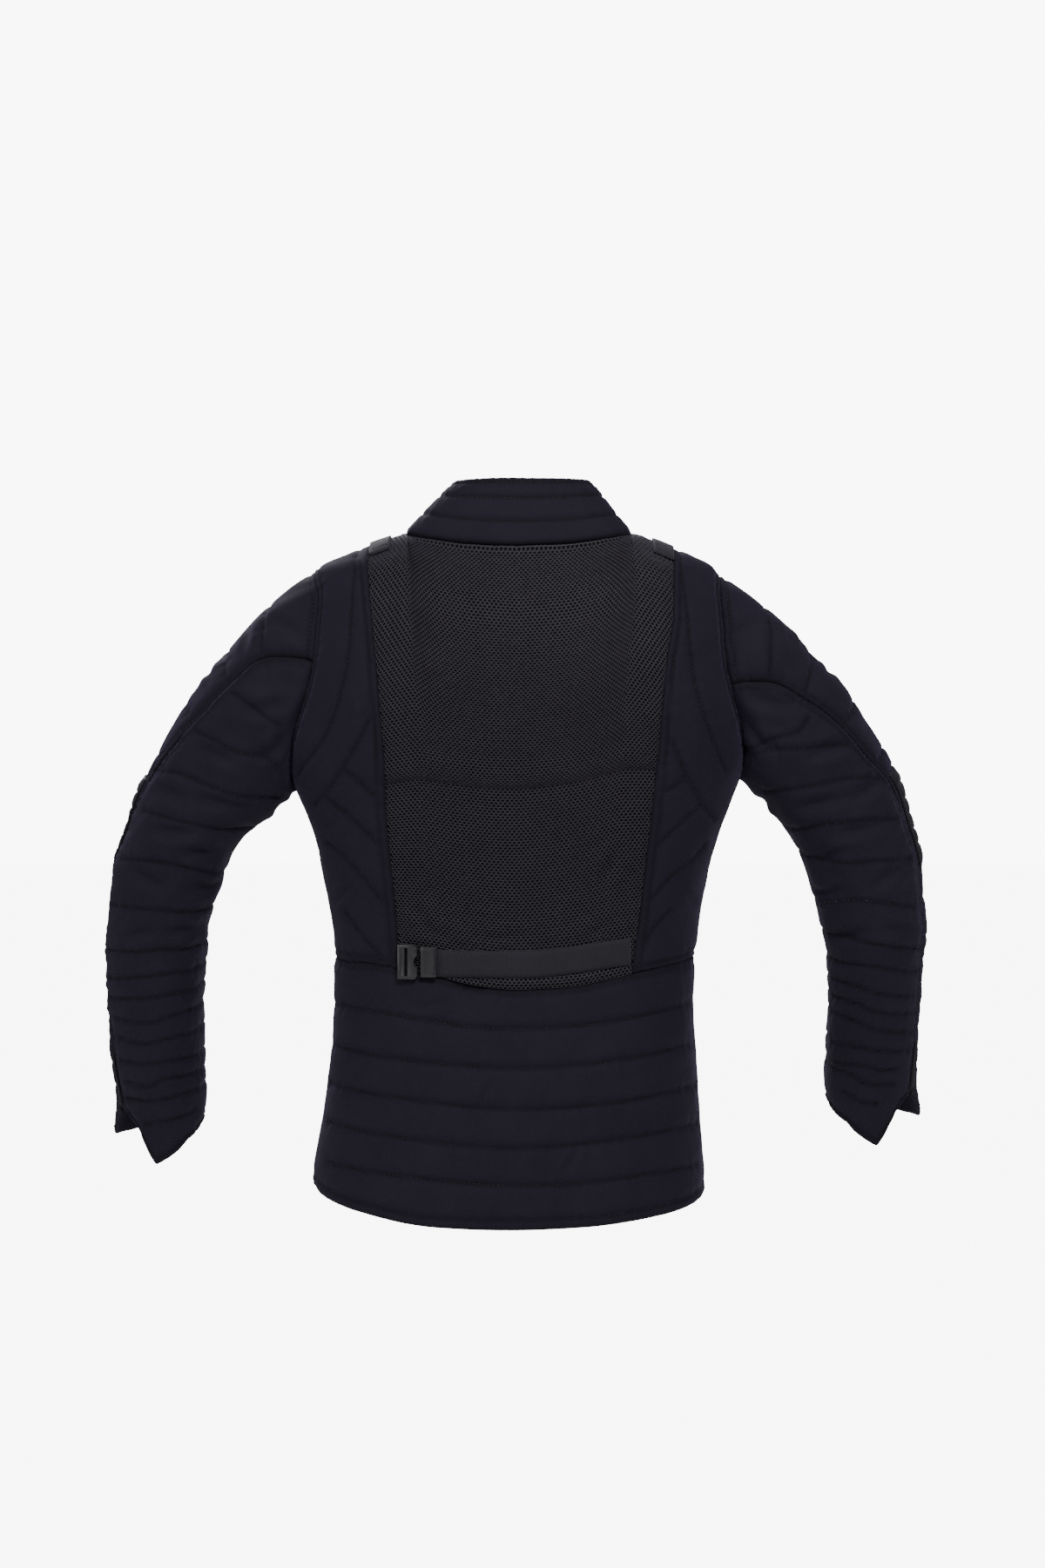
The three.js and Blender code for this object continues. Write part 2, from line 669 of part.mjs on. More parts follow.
/** Ring numbers along a sleeve piece, down to its end at one place round the cuff. */
function ringsTo(end) {
  const close = [0, 0.6];
  const spaced = steps(15).map((i) => lerp(1, CUFF_RING, i / 15));
  return [...close, ...spaced, lerp(CUFF_RING, end, 0.5), end];
}

function sleevePiece(sleeve, columns, around) {
  const last = ringsTo(CUFF_RING).length - 1;
  const grid = steps(last).map((i) => steps(columns).map((j) => {
    const rough = ringsTo(CUFF_RING + 1)[i];
    const degrees = around(rough, j / columns);
    const end = max(CUFF_RING + VENT_HEM, sleeve.cuffEnd(degrees));
    return sleeve.at(ringsTo(end)[i], degrees);
  }));
  return wall(insetBorder(grid, SEAM_GAP), QUILTED_WALL);
}

function sleeveUpper({ sleeve }) {
  const columns = (sleeve.backSeam(0) - sleeve.frontSeam(0)) / ARMHOLE_STEP;
  return sleevePiece(sleeve, columns, (ring, j) => lerp(sleeve.frontSeam(ring), sleeve.backSeam(ring), j));
}

function sleeveUnder({ sleeve }) {
  const columns = (360 + sleeve.frontSeam(0) - sleeve.backSeam(0)) / ARMHOLE_STEP;
  return sleevePiece(sleeve, columns, (ring, j) => lerp(sleeve.backSeam(ring), 360 + sleeve.frontSeam(ring), j));
}

function elbowPatch({ sleeve }) {
  const grid = steps(5).map((i) => steps(5).map((j) => {
    const ring = lerp(ELBOW.fromRing, ELBOW.toRing, i / 5);
    const degrees = lerp(sleeve.frontSeam(ring) + ELBOW.margin, sleeve.backSeam(ring) - ELBOW.margin, j / 5);
    return sleeve.at(ring, degrees);
  }));
  return wall(grid, PATCH, LIFT + PATCH + FACET.patch);
}

function cuffGusset({ sleeve }) {
  const grid = steps(4).map((i) => steps(1).map((j) => {
    const ring = lerp(GUSSET.fromRing, GUSSET.toRing, i / 4);
    const half = lerp(GUSSET.narrow, GUSSET.wide, i / 4);
    return sleeve.at(ring, sleeve.backSeam(ring) + lerp(-half, half, j));
  }));
  return wall(grid, TAPE, LIFT + TAPE + FACET.gusset);
}

/** Band that follows the back of the torso between two x positions. */
function backBand(fromX, toX, count, width, middle, thickness, lift) {
  const grid = steps(2).map((i) => steps(count).map((j) => {
    const x = lerp(fromX, toX, j / count);
    const z = middle(x) + lerp(width / 2, -width / 2, i / 2);
    return torso({ turn: turnAt(x, z), z });
  }));
  return wall(grid, thickness, lift);
}

const strapHeight = curve(rows('x z', [
  [STRAP.endX, STRAP.rightZ], [STRAP.middleX, STRAP.middleZ], [STRAP.leftX, STRAP.leftZ],
]), 'x', 'z');

function waistStrap() {
  return backBand(STRAP.startX, STRAP.endX, 16, STRAP.width, strapHeight, WEBBING, LIFT + WEBBING);
}

function strapAnchor() {
  return backBand(STRAP.anchorFrom, STRAP.anchorTo, 2, STRAP.width, strapHeight, WEBBING, LIFT + WEBBING);
}

/** Webbing tab that lies over the shoulder beside the mesh. */
function shoulderTab(x) {
  const count = 8;
  const grid = steps(count).map((i) => [-0.5, 0.5].map((across) => {
    const px = x + across * TAB.width;
    const y = lerp(TAB.behind, TAB.ahead, i / count);
    const place = (u, v) => new THREE.Vector3(u, v, heightOver(u, v));
    const inside = new THREE.Vector3(px * 0.8, 0, -90);
    return { point: place(px, y), normal: normalOf(place, px, y, 1, 1, inside) };
  }));
  return wall(grid, WEBBING, LIFT + WEBBING + FACET.tab);
}

// ---------------------------------------------------------------------------
// Hardware
// ---------------------------------------------------------------------------
/** Solid of a closed geometry for joining and cutting. */
function solid(geometry) {
  const bare = new THREE.BufferGeometry();
  bare.setAttribute('position', geometry.getAttribute('position').clone());
  if (geometry.index) bare.setIndex(geometry.index.clone());
  const merged = mergeVertices(bare, 1e-4);
  return new wasm.Manifold(new wasm.Mesh({
    numProp: 3,
    vertProperties: new Float32Array(merged.getAttribute('position').array),
    triVerts: new Uint32Array(merged.index.array),
  }));
}

function geometryOf(manifold) {
  const mesh = manifold.getMesh();
  const geometry = new THREE.BufferGeometry();
  geometry.setAttribute('position', new THREE.Float32BufferAttribute(Array.from(mesh.vertProperties), 3));
  geometry.setIndex(Array.from(mesh.triVerts));
  return geometry;
}

/** Joins closed geometries into one. */
function union(...geometries) {
  return geometryOf(geometries.map(solid).reduce((all, next) => all.add(next)));
}

/** Rounded rectangle in the XY plane about the origin. */
function roundedOutline(width, height, radius) {
  const [x, y] = [width / 2 - radius, height / 2 - radius];
  const shape = new THREE.Shape();
  for (const [cx, cy, from] of [[x, -y, -90], [x, y, 0], [-x, y, 90], [-x, -y, 180]]) {
    shape.absarc(cx, cy, radius, rad(from), rad(from + 90), false);
  }
  return shape;
}

function slab(shape, thickness) {
  return new THREE.ExtrudeGeometry(shape, { depth: thickness, bevelEnabled: false, curveSegments: 3 });
}

/** Rotation and place that stand a piece on the back: X along the waist, Y up, Z outwards. */
function backFrame(x, z, lift) {
  const { point, normal } = torso({ turn: turnAt(x, z), z });
  const out = new THREE.Vector3(normal.x, normal.y, 0).normalize();
  const up = new THREE.Vector3(0, 0, 1);
  const along = up.clone().cross(out);
  const frame = new THREE.Matrix4().makeBasis(along, up, out);
  return frame.setPosition(point.addScaledVector(out, lift));
}

/** Ladder-lock: a frame with one slot and a waved lip on the strap's side. */
function strapBuckle() {
  const { width, height, thickness, slot, rail, wave } = BUCKLE;
  const [x, y] = [width / 2, height / 2];
  const shape = new THREE.Shape();
  shape.moveTo(-x, -y);
  shape.lineTo(x - wave, -y);
  shape.bezierCurveTo(x + wave, -y * 0.5, x - 2 * wave, -y * 0.2, x - 2 * wave, 0);
  shape.bezierCurveTo(x - 2 * wave, y * 0.2, x + wave, y * 0.5, x - wave, y);
  shape.lineTo(-x, y);
  shape.closePath();
  const hole = new THREE.Path();
  const [left, top] = [-1.2 - slot / 2, y - rail];
  hole.moveTo(left, -top).lineTo(left, top).lineTo(left + slot, top).lineTo(left + slot, -top);
  hole.closePath();
  shape.holes.push(hole);
  const frame = new THREE.ExtrudeGeometry(shape, { depth: thickness, bevelEnabled: false, curveSegments: 5 });
  return geometryOf(solid(frame));
}

/** Strap slider: a smooth plate with a raised rib on its buckle side. */
function strapSlider() {
  const { width, height, thickness, rib } = SLIDER;
  const plate = slab(roundedOutline(width, height, 1.5), thickness);
  const ridge = slab(roundedOutline(rib, height - 3, 0.8), thickness + 1.2);
  ridge.translate(width / 2 - rib - 1.6, 0, 0);
  return union(plate, ridge);
}

/** Rotation and place at the zip's top: X across, Y up the zip, Z outwards. */
function zipFrame() {
  const at = ZIP.slider.at;
  const place = collarPoint(180, at).setX(0);
  const up = place.clone().sub(collarPoint(180, at - 0.3).setX(0)).normalize();
  const across = new THREE.Vector3(1, 0, 0);
  const out = across.clone().cross(up);
  place.addScaledVector(out, SEAM_GAP - TAPE_DEPTH);
  return new THREE.Matrix4().makeBasis(across, up, out).setPosition(place);
}

function rodHeight() {
  return ZIP.slider.height + ZIP.rod.above;
}

function zipSlider() {
  const { slider, post, rod } = ZIP;
  const base = slab(roundedOutline(slider.width, slider.length, 2.2), slider.height);
  const postHeight = rod.above + rod.radius + 0.4;
  const posts = [-1, 1].map((side) => {
    const box = new THREE.BoxGeometry(post.width, post.length, postHeight + 0.5);
    return box.translate(side * (post.apart + post.width) / 2, 0, slider.height - 0.5 + (postHeight + 0.5) / 2);
  });
  const bar = new THREE.CylinderGeometry(rod.radius, rod.radius, post.apart + post.width, 14);
  bar.rotateZ(PI / 2).translate(0, 0, rodHeight());
  return union(base, ...posts, bar);
}

function zipPull() {
  const { pull } = ZIP;
  const ring = new THREE.Shape().absarc(0, 0, pull.eyeOuter, 0, 2 * PI, false);
  ring.holes.push(new THREE.Path().absarc(0, 0, pull.eyeInner, 0, 2 * PI, true));
  const eye = new THREE.ExtrudeGeometry(ring, { depth: pull.eyeWidth, bevelEnabled: false, curveSegments: 9 });
  eye.translate(0, 0, -pull.eyeWidth / 2).rotateY(PI / 2);
  const neckLength = pull.neck - pull.eyeInner;
  const neck = new THREE.BoxGeometry(pull.eyeWidth, neckLength, pull.thickness);
  neck.translate(0, -pull.eyeInner - 0.2 - neckLength / 2, 0);
  const tab = slab(roundedOutline(pull.width, pull.length, 2), pull.thickness);
  tab.translate(0, -pull.neck - pull.length / 2, -pull.thickness / 2);
  return union(eye, neck, tab).translate(0, 0, rodHeight());
}

/** Tape of the closed centre-front zip, on the front and up the collar. */
function zipTape() {
  const frontRows = steps(14).map((i) => {
    const z = lerp(hemZ(180) + 3, neckZ(180) - 1, i / 14);
    return torso({ turn: 180, z });
  });
  const collarRows = steps(3).map((i) => collar(180, lerp(0.04, 0.94, i / 3)));
  const grid = [...frontRows, ...collarRows].map(({ point, normal }) => [-1, 0, 1].map((across) => {
    const centre = new THREE.Vector3(0, point.y, point.z);
    return { point: centre.setX(across * ZIP_HALF_WIDTH), normal: new THREE.Vector3(0, normal.y, normal.z) };
  }));
  return wall(grid, TAPE, -TAPE_DEPTH);
}

// ---------------------------------------------------------------------------
// The jacket
// ---------------------------------------------------------------------------
const group = new THREE.Group();

function add(name, geometry, color, roughness = 0.9, metalness = 0, frame = null) {
  const mesh = new THREE.Mesh(geometry, new THREE.MeshStandardMaterial({ color, roughness, metalness }));
  mesh.name = name;
  if (frame) mesh.applyMatrix4(frame);
  group.add(mesh);
}

add('back_mesh', backMesh(), COLOURS.mesh);
add('back_lower', backLower(), COLOURS.quilt);
add('collar', collarPiece(), COLOURS.quilt);
for (const half of Object.values(halves)) {
  add(`back_side_${half.side}`, backSide(half), COLOURS.quilt);
  add(`front_${half.side}`, front(half), COLOURS.quilt);
  add(`sleeve_upper_${half.side}`, sleeveUpper(half), COLOURS.quilt);
  add(`sleeve_under_${half.side}`, sleeveUnder(half), COLOURS.quilt);
  add(`elbow_patch_${half.side}`, elbowPatch(half), COLOURS.patch, 0.6);
  add(`cuff_gusset_${half.side}`, cuffGusset(half), COLOURS.tape);
  add(`shoulder_tab_${half.side}`, shoulderTab(TAB[`${half.side}X`]), COLOURS.webbing);
}
add('waist_strap', waistStrap(), COLOURS.webbing);
add('strap_anchor', strapAnchor(), COLOURS.webbing);
add('strap_buckle', strapBuckle(), COLOURS.hardware, 0.45, 0,
  backFrame(BUCKLE.x, BUCKLE.z, 2 * LIFT + WEBBING + FACET.hardware));
add('strap_slider', strapSlider(), COLOURS.hardware, 0.45, 0,
  backFrame(SLIDER.x, SLIDER.z, 2 * LIFT + WEBBING + FACET.hardware));
add('zip_tape', zipTape(), COLOURS.tape);
add('zip_slider', zipSlider(), COLOURS.zipMetal, 0.35, 0.9, zipFrame());
add('zip_pull', zipPull(), COLOURS.zipMetal, 0.35, 0.9, zipFrame());

export default group;
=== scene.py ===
"""Quilted fencing jacket with a spacer-mesh back, filled out as if worn.

The garment's forms are worked in millimetres in the part's own frame: +Z up, the wearer's back
towards +Y, the zipped front towards -Y and the wearer's left at +X. Meshes are in metres.
"""
import logging
import math
from dataclasses import dataclass, field
from enum import Enum
from typing import Callable, Optional, Sequence

import bpy
import numpy as np
from mathutils import Matrix, Vector


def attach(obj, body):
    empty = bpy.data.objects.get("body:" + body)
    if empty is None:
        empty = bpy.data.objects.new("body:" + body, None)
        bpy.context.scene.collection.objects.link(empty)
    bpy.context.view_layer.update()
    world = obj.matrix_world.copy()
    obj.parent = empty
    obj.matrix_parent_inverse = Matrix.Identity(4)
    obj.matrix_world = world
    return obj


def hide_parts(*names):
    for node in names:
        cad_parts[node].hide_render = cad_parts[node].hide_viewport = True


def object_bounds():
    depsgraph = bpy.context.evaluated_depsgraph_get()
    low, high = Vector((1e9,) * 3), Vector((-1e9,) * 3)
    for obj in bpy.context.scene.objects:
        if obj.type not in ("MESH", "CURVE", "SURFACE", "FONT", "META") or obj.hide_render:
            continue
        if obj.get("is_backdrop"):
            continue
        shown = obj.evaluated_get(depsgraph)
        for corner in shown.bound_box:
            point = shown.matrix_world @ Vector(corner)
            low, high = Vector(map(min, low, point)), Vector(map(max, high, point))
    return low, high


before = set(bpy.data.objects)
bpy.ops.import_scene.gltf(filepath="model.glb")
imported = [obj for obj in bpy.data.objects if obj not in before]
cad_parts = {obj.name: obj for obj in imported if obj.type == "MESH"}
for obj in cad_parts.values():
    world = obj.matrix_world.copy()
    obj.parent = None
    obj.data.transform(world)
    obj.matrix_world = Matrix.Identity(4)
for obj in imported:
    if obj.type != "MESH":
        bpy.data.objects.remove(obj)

CAD_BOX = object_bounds()
log = logging.getLogger("fencing_jacket")

Array = np.ndarray
Places = Sequence[Sequence[float]]
Triple = tuple[float, float, float]
Piece = bpy.types.Object
Material = bpy.types.Material
MM = 0.001
BODY = "jacket"

# --- Sizes shared by the whole garment, in millimetres and degrees ---
QUILTED_WALL = 3.6
COLLAR_WALL = 5.6
SEAM_GAP = 0.3
WEBBING = 1.6
SAMPLE_STEP = 1.5
BODY_SQUARENESS = 2.4
SLEEVE_SQUARENESS = 2.15
SIDE_SEAM = 98
SHOULDER_SEAM = 94
FRONT_EDGE = 8
CUFF_RING = 12
VENT_HEM = 0.1
CUFF_FLARE = 9


class Side(Enum):
    """The wearer's two sides, valued by the sign of X."""

    LEFT = 1
    RIGHT = -1

    @property
    def label(self) -> str:
        """Lower-case name used in the names of pieces.

        Returns:
            The name.
        """
        return self.name.lower()


class Thread(Enum):
    """What a line on the cloth is sewn with."""

    TONAL = "tonal"
    PALE = "pale"
    NONE = "none"


@dataclass(frozen=True)
class Table:
    """A short table with named columns."""

    names: str
    rows: Places

    def column(self, name: str) -> Array:
        """Values of one column.

        Args:
            name: The column's name.

        Returns:
            Its values.
        """
        return np.array(self.rows, float)[:, self.names.split().index(name)]

    def curve(self, across: str, up: str) -> "Curve":
        """Smooth curve of one column over another.

        Args:
            across: Column of places.
            up: Column of values.

        Returns:
            The curve.
        """
        return Curve(self.column(across), self.column(up))


class Curve:
    """A smooth curve through points in order of x that doesn't overshoot them."""

    def __init__(self, x: Array, y: Array) -> None:
        """Works out the tangents.

        Args:
            x: Rising places.
            y: Value at each place.
        """
        self.x, self.y = np.asarray(x, float), np.asarray(y, float)
        slope = np.diff(self.y) / np.diff(self.x)
        before, after = slope[:-1], slope[1:]
        total = np.where(before + after == 0, 1, before + after)
        inner = np.where(before * after > 0, 2 * before * after / total, 0)
        self.tangent = np.concatenate([slope[:1], inner, slope[-1:]])

    def __call__(self, value: Array) -> Array:
        """Value of the curve, held level past its ends.

        Args:
            value: Places along x.

        Returns:
            The curve's value at each place.
        """
        value = np.asarray(value, float)
        i = np.clip(np.searchsorted(self.x, value) - 1, 0, len(self.x) - 2)
        width = self.x[i + 1] - self.x[i]
        t = np.clip((value - self.x[i]) / width, 0, 1)
        bend = t * t * (3 - 2 * t)
        start = t * (1 - t) ** 2 * width * self.tangent[i]
        end = t * t * (t - 1) * width * self.tangent[i + 1]
        return self.y[i] + (self.y[i + 1] - self.y[i]) * bend + start + end


def catmull_rom(a: Array, b: Array, c: Array, d: Array, t: Array) -> Array:
    """Blend of four neighbours, at t from b to c.

    Args:
        a: Value before b.
        b: Value where t is 0.
        c: Value where t is 1.
        d: Value after c.
        t: Place between b and c.

    Returns:
        The blended value.
    """
    return b + 0.5 * t * (c - a + t * (2 * a - 5 * b + 4 * c - d + t * (3 * (b - c) + d - a)))


def smoothstep(low: float, high: float, value: Array) -> Array:
    """Smooth rise from 0 at low to 1 at high.

    Args:
        low: Value where the rise starts.
        high: Value where it ends.
        value: Where to read it.

    Returns:
        The rise, from 0 to 1.
    """
    t = np.clip((np.asarray(value, float) - low) / (high - low), 0, 1)
    return t * t * (3 - 2 * t)


def softened(curve: Curve) -> Callable[[Array], Array]:
    """A curve averaged over a short reach below the shoulders, so that cloth lies smooth.

    Args:
        curve: The curve over height.

    Returns:
        The softened curve.
    """
    reach = np.array((-26.0, -13.0, 0.0, 13.0, 26.0))
    weights = np.array((0.1, 0.22, 0.36, 0.22, 0.1))

    def value(z: Array) -> Array:
        """Value of the softened curve at some heights.

        Args:
            z: Heights.

        Returns:
            The values.
        """
        z = np.asarray(z, float)
        mean = (curve(z[..., None] + reach) * weights).sum(axis=-1)
        return curve(z) + (mean - curve(z)) * smoothstep(-60, -120, z)

    return value


def unit(vectors: Array) -> Array:
    """Vectors scaled to length 1.

    Args:
        vectors: Vectors along the last axis.

    Returns:
        Unit vectors.
    """
    return vectors / np.maximum(np.linalg.norm(vectors, axis=-1, keepdims=True), 1e-9)


def stack(x: Array, y: Array, z: Array) -> Array:
    """Points from three coordinates of shapes that broadcast.

    Args:
        x: Place across.
        y: Place front to back.
        z: Height.

    Returns:
        Points.
    """
    return np.stack(np.broadcast_arrays(x, y, z), axis=-1).astype(float)


def oval(turn: Array, power: float) -> tuple[Array, Array]:
    """Sine and cosine parts of a squared oval of half-width 1.

    Args:
        turn: Degrees round it.
        power: 2 for an ellipse, more for a squarer one.

    Returns:
        Sideways and forward parts at each turn.
    """
    s, c = np.sin(np.radians(turn)), np.cos(np.radians(turn))
    k = (np.abs(s) ** power + np.abs(c) ** power) ** (-1 / power)
    return s * k, c * k


def outward_normals(surface: Callable[[Array, Array], Array], u: Array, v: Array, du: float,
                    dv: float, inside: Array) -> Array:
    """Directions square to a surface, pointing away from its inside.

    Args:
        surface: Point for each pair of parameters.
        u: First parameter.
        v: Second parameter.
        du: Step in u for the slope.
        dv: Step in v for the slope.
        inside: A point inside for each place.

    Returns:
        Unit vectors.
    """
    across = surface(u + du, v) - surface(u - du, v)
    along = surface(u, v + dv) - surface(u, v - dv)
    normal = unit(np.cross(across, along))
    outward = np.sum(normal * (surface(u, v) - inside), axis=-1, keepdims=True)
    return np.where(outward < 0, -normal, normal)


# --- The garment's tables ---
TORSO = Table("z half shift back front", (
    (-660, 190, 6, 116, 122),
    (-588, 182, 5, 110, 118),
    (-513, 173.5, 2, 103, 112),
    (-438, 169.3, 0, 95, 104),
    (-389, 170.5, 0, 94, 101),
    (-339, 179, -1, 100, 104),
    (-289, 190, -1, 107, 112),
    (-243, 208, -1.5, 112, 122),
    (-205, 219, -1.5, 113, 126),
    (-170, 219, -1, 113, 125),
    (-120, 214, -1, 107, 113),
    (-75, 206, -1, 93, 97),
    (-40, 192, -1, 77, 84),
    (-15, 147, -3, 61, 68),
    (0, 106, -4, 52, 60),
))
NECK_SEAM = Table("turn z", (
    (0, -17), (20, -14), (37, -9), (60, -3.5), (94, 0), (120, -1.5), (140, -8),
    (155, -22), (165, -38), (173, -57), (180, -65),
))
WAIST_SEAM = Table("turn z", (
    (-98, -402), (-75, -404), (-50, -411), (-36, -417), (-16, -428), (0, -430),
    (12, -426), (24, -418), (37, -411), (50, -407), (72, -405), (98, -402),
))
HEM = Table("turn z", (
    (-180, -646), (-130, -636), (-98, -621), (-75, -628), (-45, -640), (-20, -648),
    (0, -650), (20, -648), (45, -636), (60, -628), (75, -621), (98, -613), (130, -630),
    (180, -646),
))
MESH_EDGE = Table("z LEFT RIGHT", (
    (-430, 106, 107),
    (-362, 110, 116),
    (-275, 118, 126),
    (-211, 121, 133),
    (-127, 128, 141),
    (-79, 133, 148),
    (-14, 140, 150),
))
# Round the armhole from its top over the back to its bottom and up the front.
ARMHOLE = Table("around LEFTturn LEFTz RIGHTturn RIGHTz", (
    (0, 94, -37, 94, -40),
    (30, 64.3, -55, 70, -55),
    (60, 58.5, -97, 64, -95),
    (90, 58, -139, 62.5, -134),
    (120, 64, -178, 67, -172),
    (150, 76, -216, 77, -205),
    (180, 98, -245, 98, -231),
    (210, 115, -216, 114, -205),
    (240, 120, -178, 118, -172),
    (270, 123, -139, 122, -134),
    (300, 121, -97, 120, -95),
    (330, 116, -57, 115, -57),
))
# Sleeve rings after the armhole, each from its outer to its inner edge.
SLEEVE_COLUMNS = "outerX outerZ innerX innerZ y reach"
SLEEVE_RINGS = {
    Side.LEFT: Table(SLEEVE_COLUMNS, (
        (233, -71, 213, -246, 1, 58),
        (273, -114, 218, -250, -2, 59),
        (307, -158, 227, -260, -5, 58),
        (334, -199, 243, -274, -8, 56),
        (356, -242, 259, -289, -11, 54),
        (369, -279, 274, -312, -15, 52),
        (382, -314, 285, -339, -20, 51),
        (390, -365, 294, -369, -30, 50),
        (393, -399, 298, -403, -38, 49),
        (392, -441, 301, -445, -48, 47),
        (390, -493, 302, -493, -60, 45),
        (386, -546, 302, -546, -73, 43),
        (384, -601, 303, -601, -86, 42),
    )),
    Side.RIGHT: Table(SLEEVE_COLUMNS, (
        (238, -73, 217, -233, 1, 58),
        (280, -114, 225, -242, -2, 59),
        (317, -155, 239, -255, -5, 58),
        (344, -197, 255, -275, -8, 56),
        (364, -232, 269, -294, -11, 54),
        (376, -270, 279, -317, -15, 52),
        (387, -308, 288, -345, -20, 51),
        (393, -356, 297, -375, -30, 50),
        (394, -390, 302, -399, -38, 49),
        (393, -433, 303, -440, -48, 47),
        (391, -480, 304, -484, -60, 45),
        (390, -529, 304, -531, -73, 43),
        (390, -583, 304, -583, -86, 42),
    )),
}
SLEEVE_SEAMS = Table("ring LEFT RIGHT front", (
    (0, 80, 100, -80),
    (1, 65, 83, -80),
    (2, 56, 69, -80),
    (3, 49, 58, -80),
    (4, 38, 50, -80),
    (5, 26, 38, -80),
    (6, 12, 33, -80),
    (8, 10, 30, -80),
    (10, 15, 30, -80),
    (11, 24, 32, -78),
    (12, 32, 34, -76),
    (13.5, 34, 35, -76),
))
CUFF_END = Table("around ring", (
    (-80, 12.62), (-40, 12.66), (-12, 12.62), (32, 12.0), (60, 12.28), (86, 12.9), (110, 12.68),
    (130, 12.48), (180, 12.26), (230, 12.42), (284, 12.62),
))
COLLAR_TOP = Table("turn z", (
    (0, 49), (60, 49), (90, 46), (120, 29), (150, 2), (180, -12),
))


# --- Surfaces ---
class Torso:
    """Outer surface of the body, by degrees from the centre back and by height."""

    def __init__(self) -> None:
        """Reads the curves of the body's table."""
        self.half, self.shift, self.back, self.front = (
            softened(TORSO.curve("z", name)) for name in ("half", "shift", "back", "front"))
        neck = NECK_SEAM.curve("turn", "z")
        self.neck = lambda turn: neck(np.abs(turn))
        self.waist = WAIST_SEAM.curve("turn", "z")
        self.hem = HEM.curve("turn", "z")

    def point(self, turn: Array, z: Array) -> Array:
        """Point of the surface.

        Args:
            turn: Degrees from the centre back.
            z: Height.

        Returns:
            Points.
        """
        across, deep = oval(turn, BODY_SQUARENESS)
        depth = np.where(deep > 0, self.back(z), self.front(z))
        return stack(self.shift(z) + self.half(z) * across, depth * deep, z)

    def normal(self, turn: Array, z: Array) -> Array:
        """Outward direction of the surface.

        Args:
            turn: Degrees from the centre back.
            z: Height.

        Returns:
            Unit vectors.
        """
        turn, z = np.broadcast_arrays(np.asarray(turn, float), np.asarray(z, float))
        return outward_normals(self.point, turn, z, 1, 1.5, stack(0 * z, 0 * z, z - 60))

    def turn_at(self, x: Array, z: Array) -> Array:
        """Turn at which the back has a given x.

        Args:
            x: Distance from the centre line.
            z: Height.

        Returns:
            Degrees from the centre back.
        """
        across = np.clip((x - self.shift(z)) / self.half(z), -1, 1)
        depth = np.maximum(0, 1 - np.abs(across) ** BODY_SQUARENESS) ** (1 / BODY_SQUARENESS)
        return np.degrees(np.arctan2(across, depth))

    def oval_value(self, points: Array) -> Array:
        """Below 1 inside the body's oval, above 1 outside it.

        Args:
            points: Points to test.

        Returns:
            One value for each point.
        """
        x, y, z = np.moveaxis(points, -1, 0)
        depth = np.where(y > 0, self.back(z), self.front(z))
        across = np.abs((x - self.shift(z)) / self.half(z))
        return across ** BODY_SQUARENESS + np.abs(y / depth) ** BODY_SQUARENESS

    def height_over(self, x: Array, y: Array) -> Array:
        """Height at which the shoulders pass over a place.

        Args:
            x: Place across.
            y: Place front to back.

        Returns:
            Heights.
        """
        low, high = np.full(np.shape(x), -120.0), np.zeros(np.shape(x))
        for _ in range(30):
            z = (low + high) / 2
            inside = self.oval_value(stack(x, y, z)) < 1
            low, high = np.where(inside, z, low), np.where(inside, high, z)
        return (low + high) / 2

    def place_near(self, points: Array) -> tuple[Array, Array]:
        """The place on the surface seen from inside through each point.

        Args:
            points: Points near the surface.

        Returns:
            Turns and heights.
        """
        drop = 90 * smoothstep(-220, -60, points[..., 2])
        inside = stack(points[..., 0] * 0.5, 0, points[..., 2] - drop)
        ray = points - inside
        low, high = np.full(points.shape[:-1], 0.4), np.full(points.shape[:-1], 1.8)
        for _ in range(32):
            k = (low + high) / 2
            trial = inside + ray * k[..., None]
            within = (trial[..., 2] < 0) & (self.oval_value(trial) < 1)
            low, high = np.where(within, k, low), np.where(within, high, k)
        x, y, z = np.moveaxis(inside + ray * low[..., None], -1, 0)
        depth = np.where(y > 0, self.back(z), self.front(z))
        return np.degrees(np.arctan2((x - self.shift(z)) / self.half(z), y / depth)), z

    def shoulder_height(self, side: Side, x: float) -> float:
        """Height on the shoulder seam at a distance from the centre line.

        Args:
            side: Which shoulder.
            x: Distance from the centre line.

        Returns:
            The height.
        """
        low, high = -40.0, 0.0
        for _ in range(40):
            z = (low + high) / 2
            wide = abs(self.point(side.value * SHOULDER_SEAM, z)[0])
            low, high = (low, z) if wide < x else (z, high)
        return (low + high) / 2


BODY_FORM = Torso()


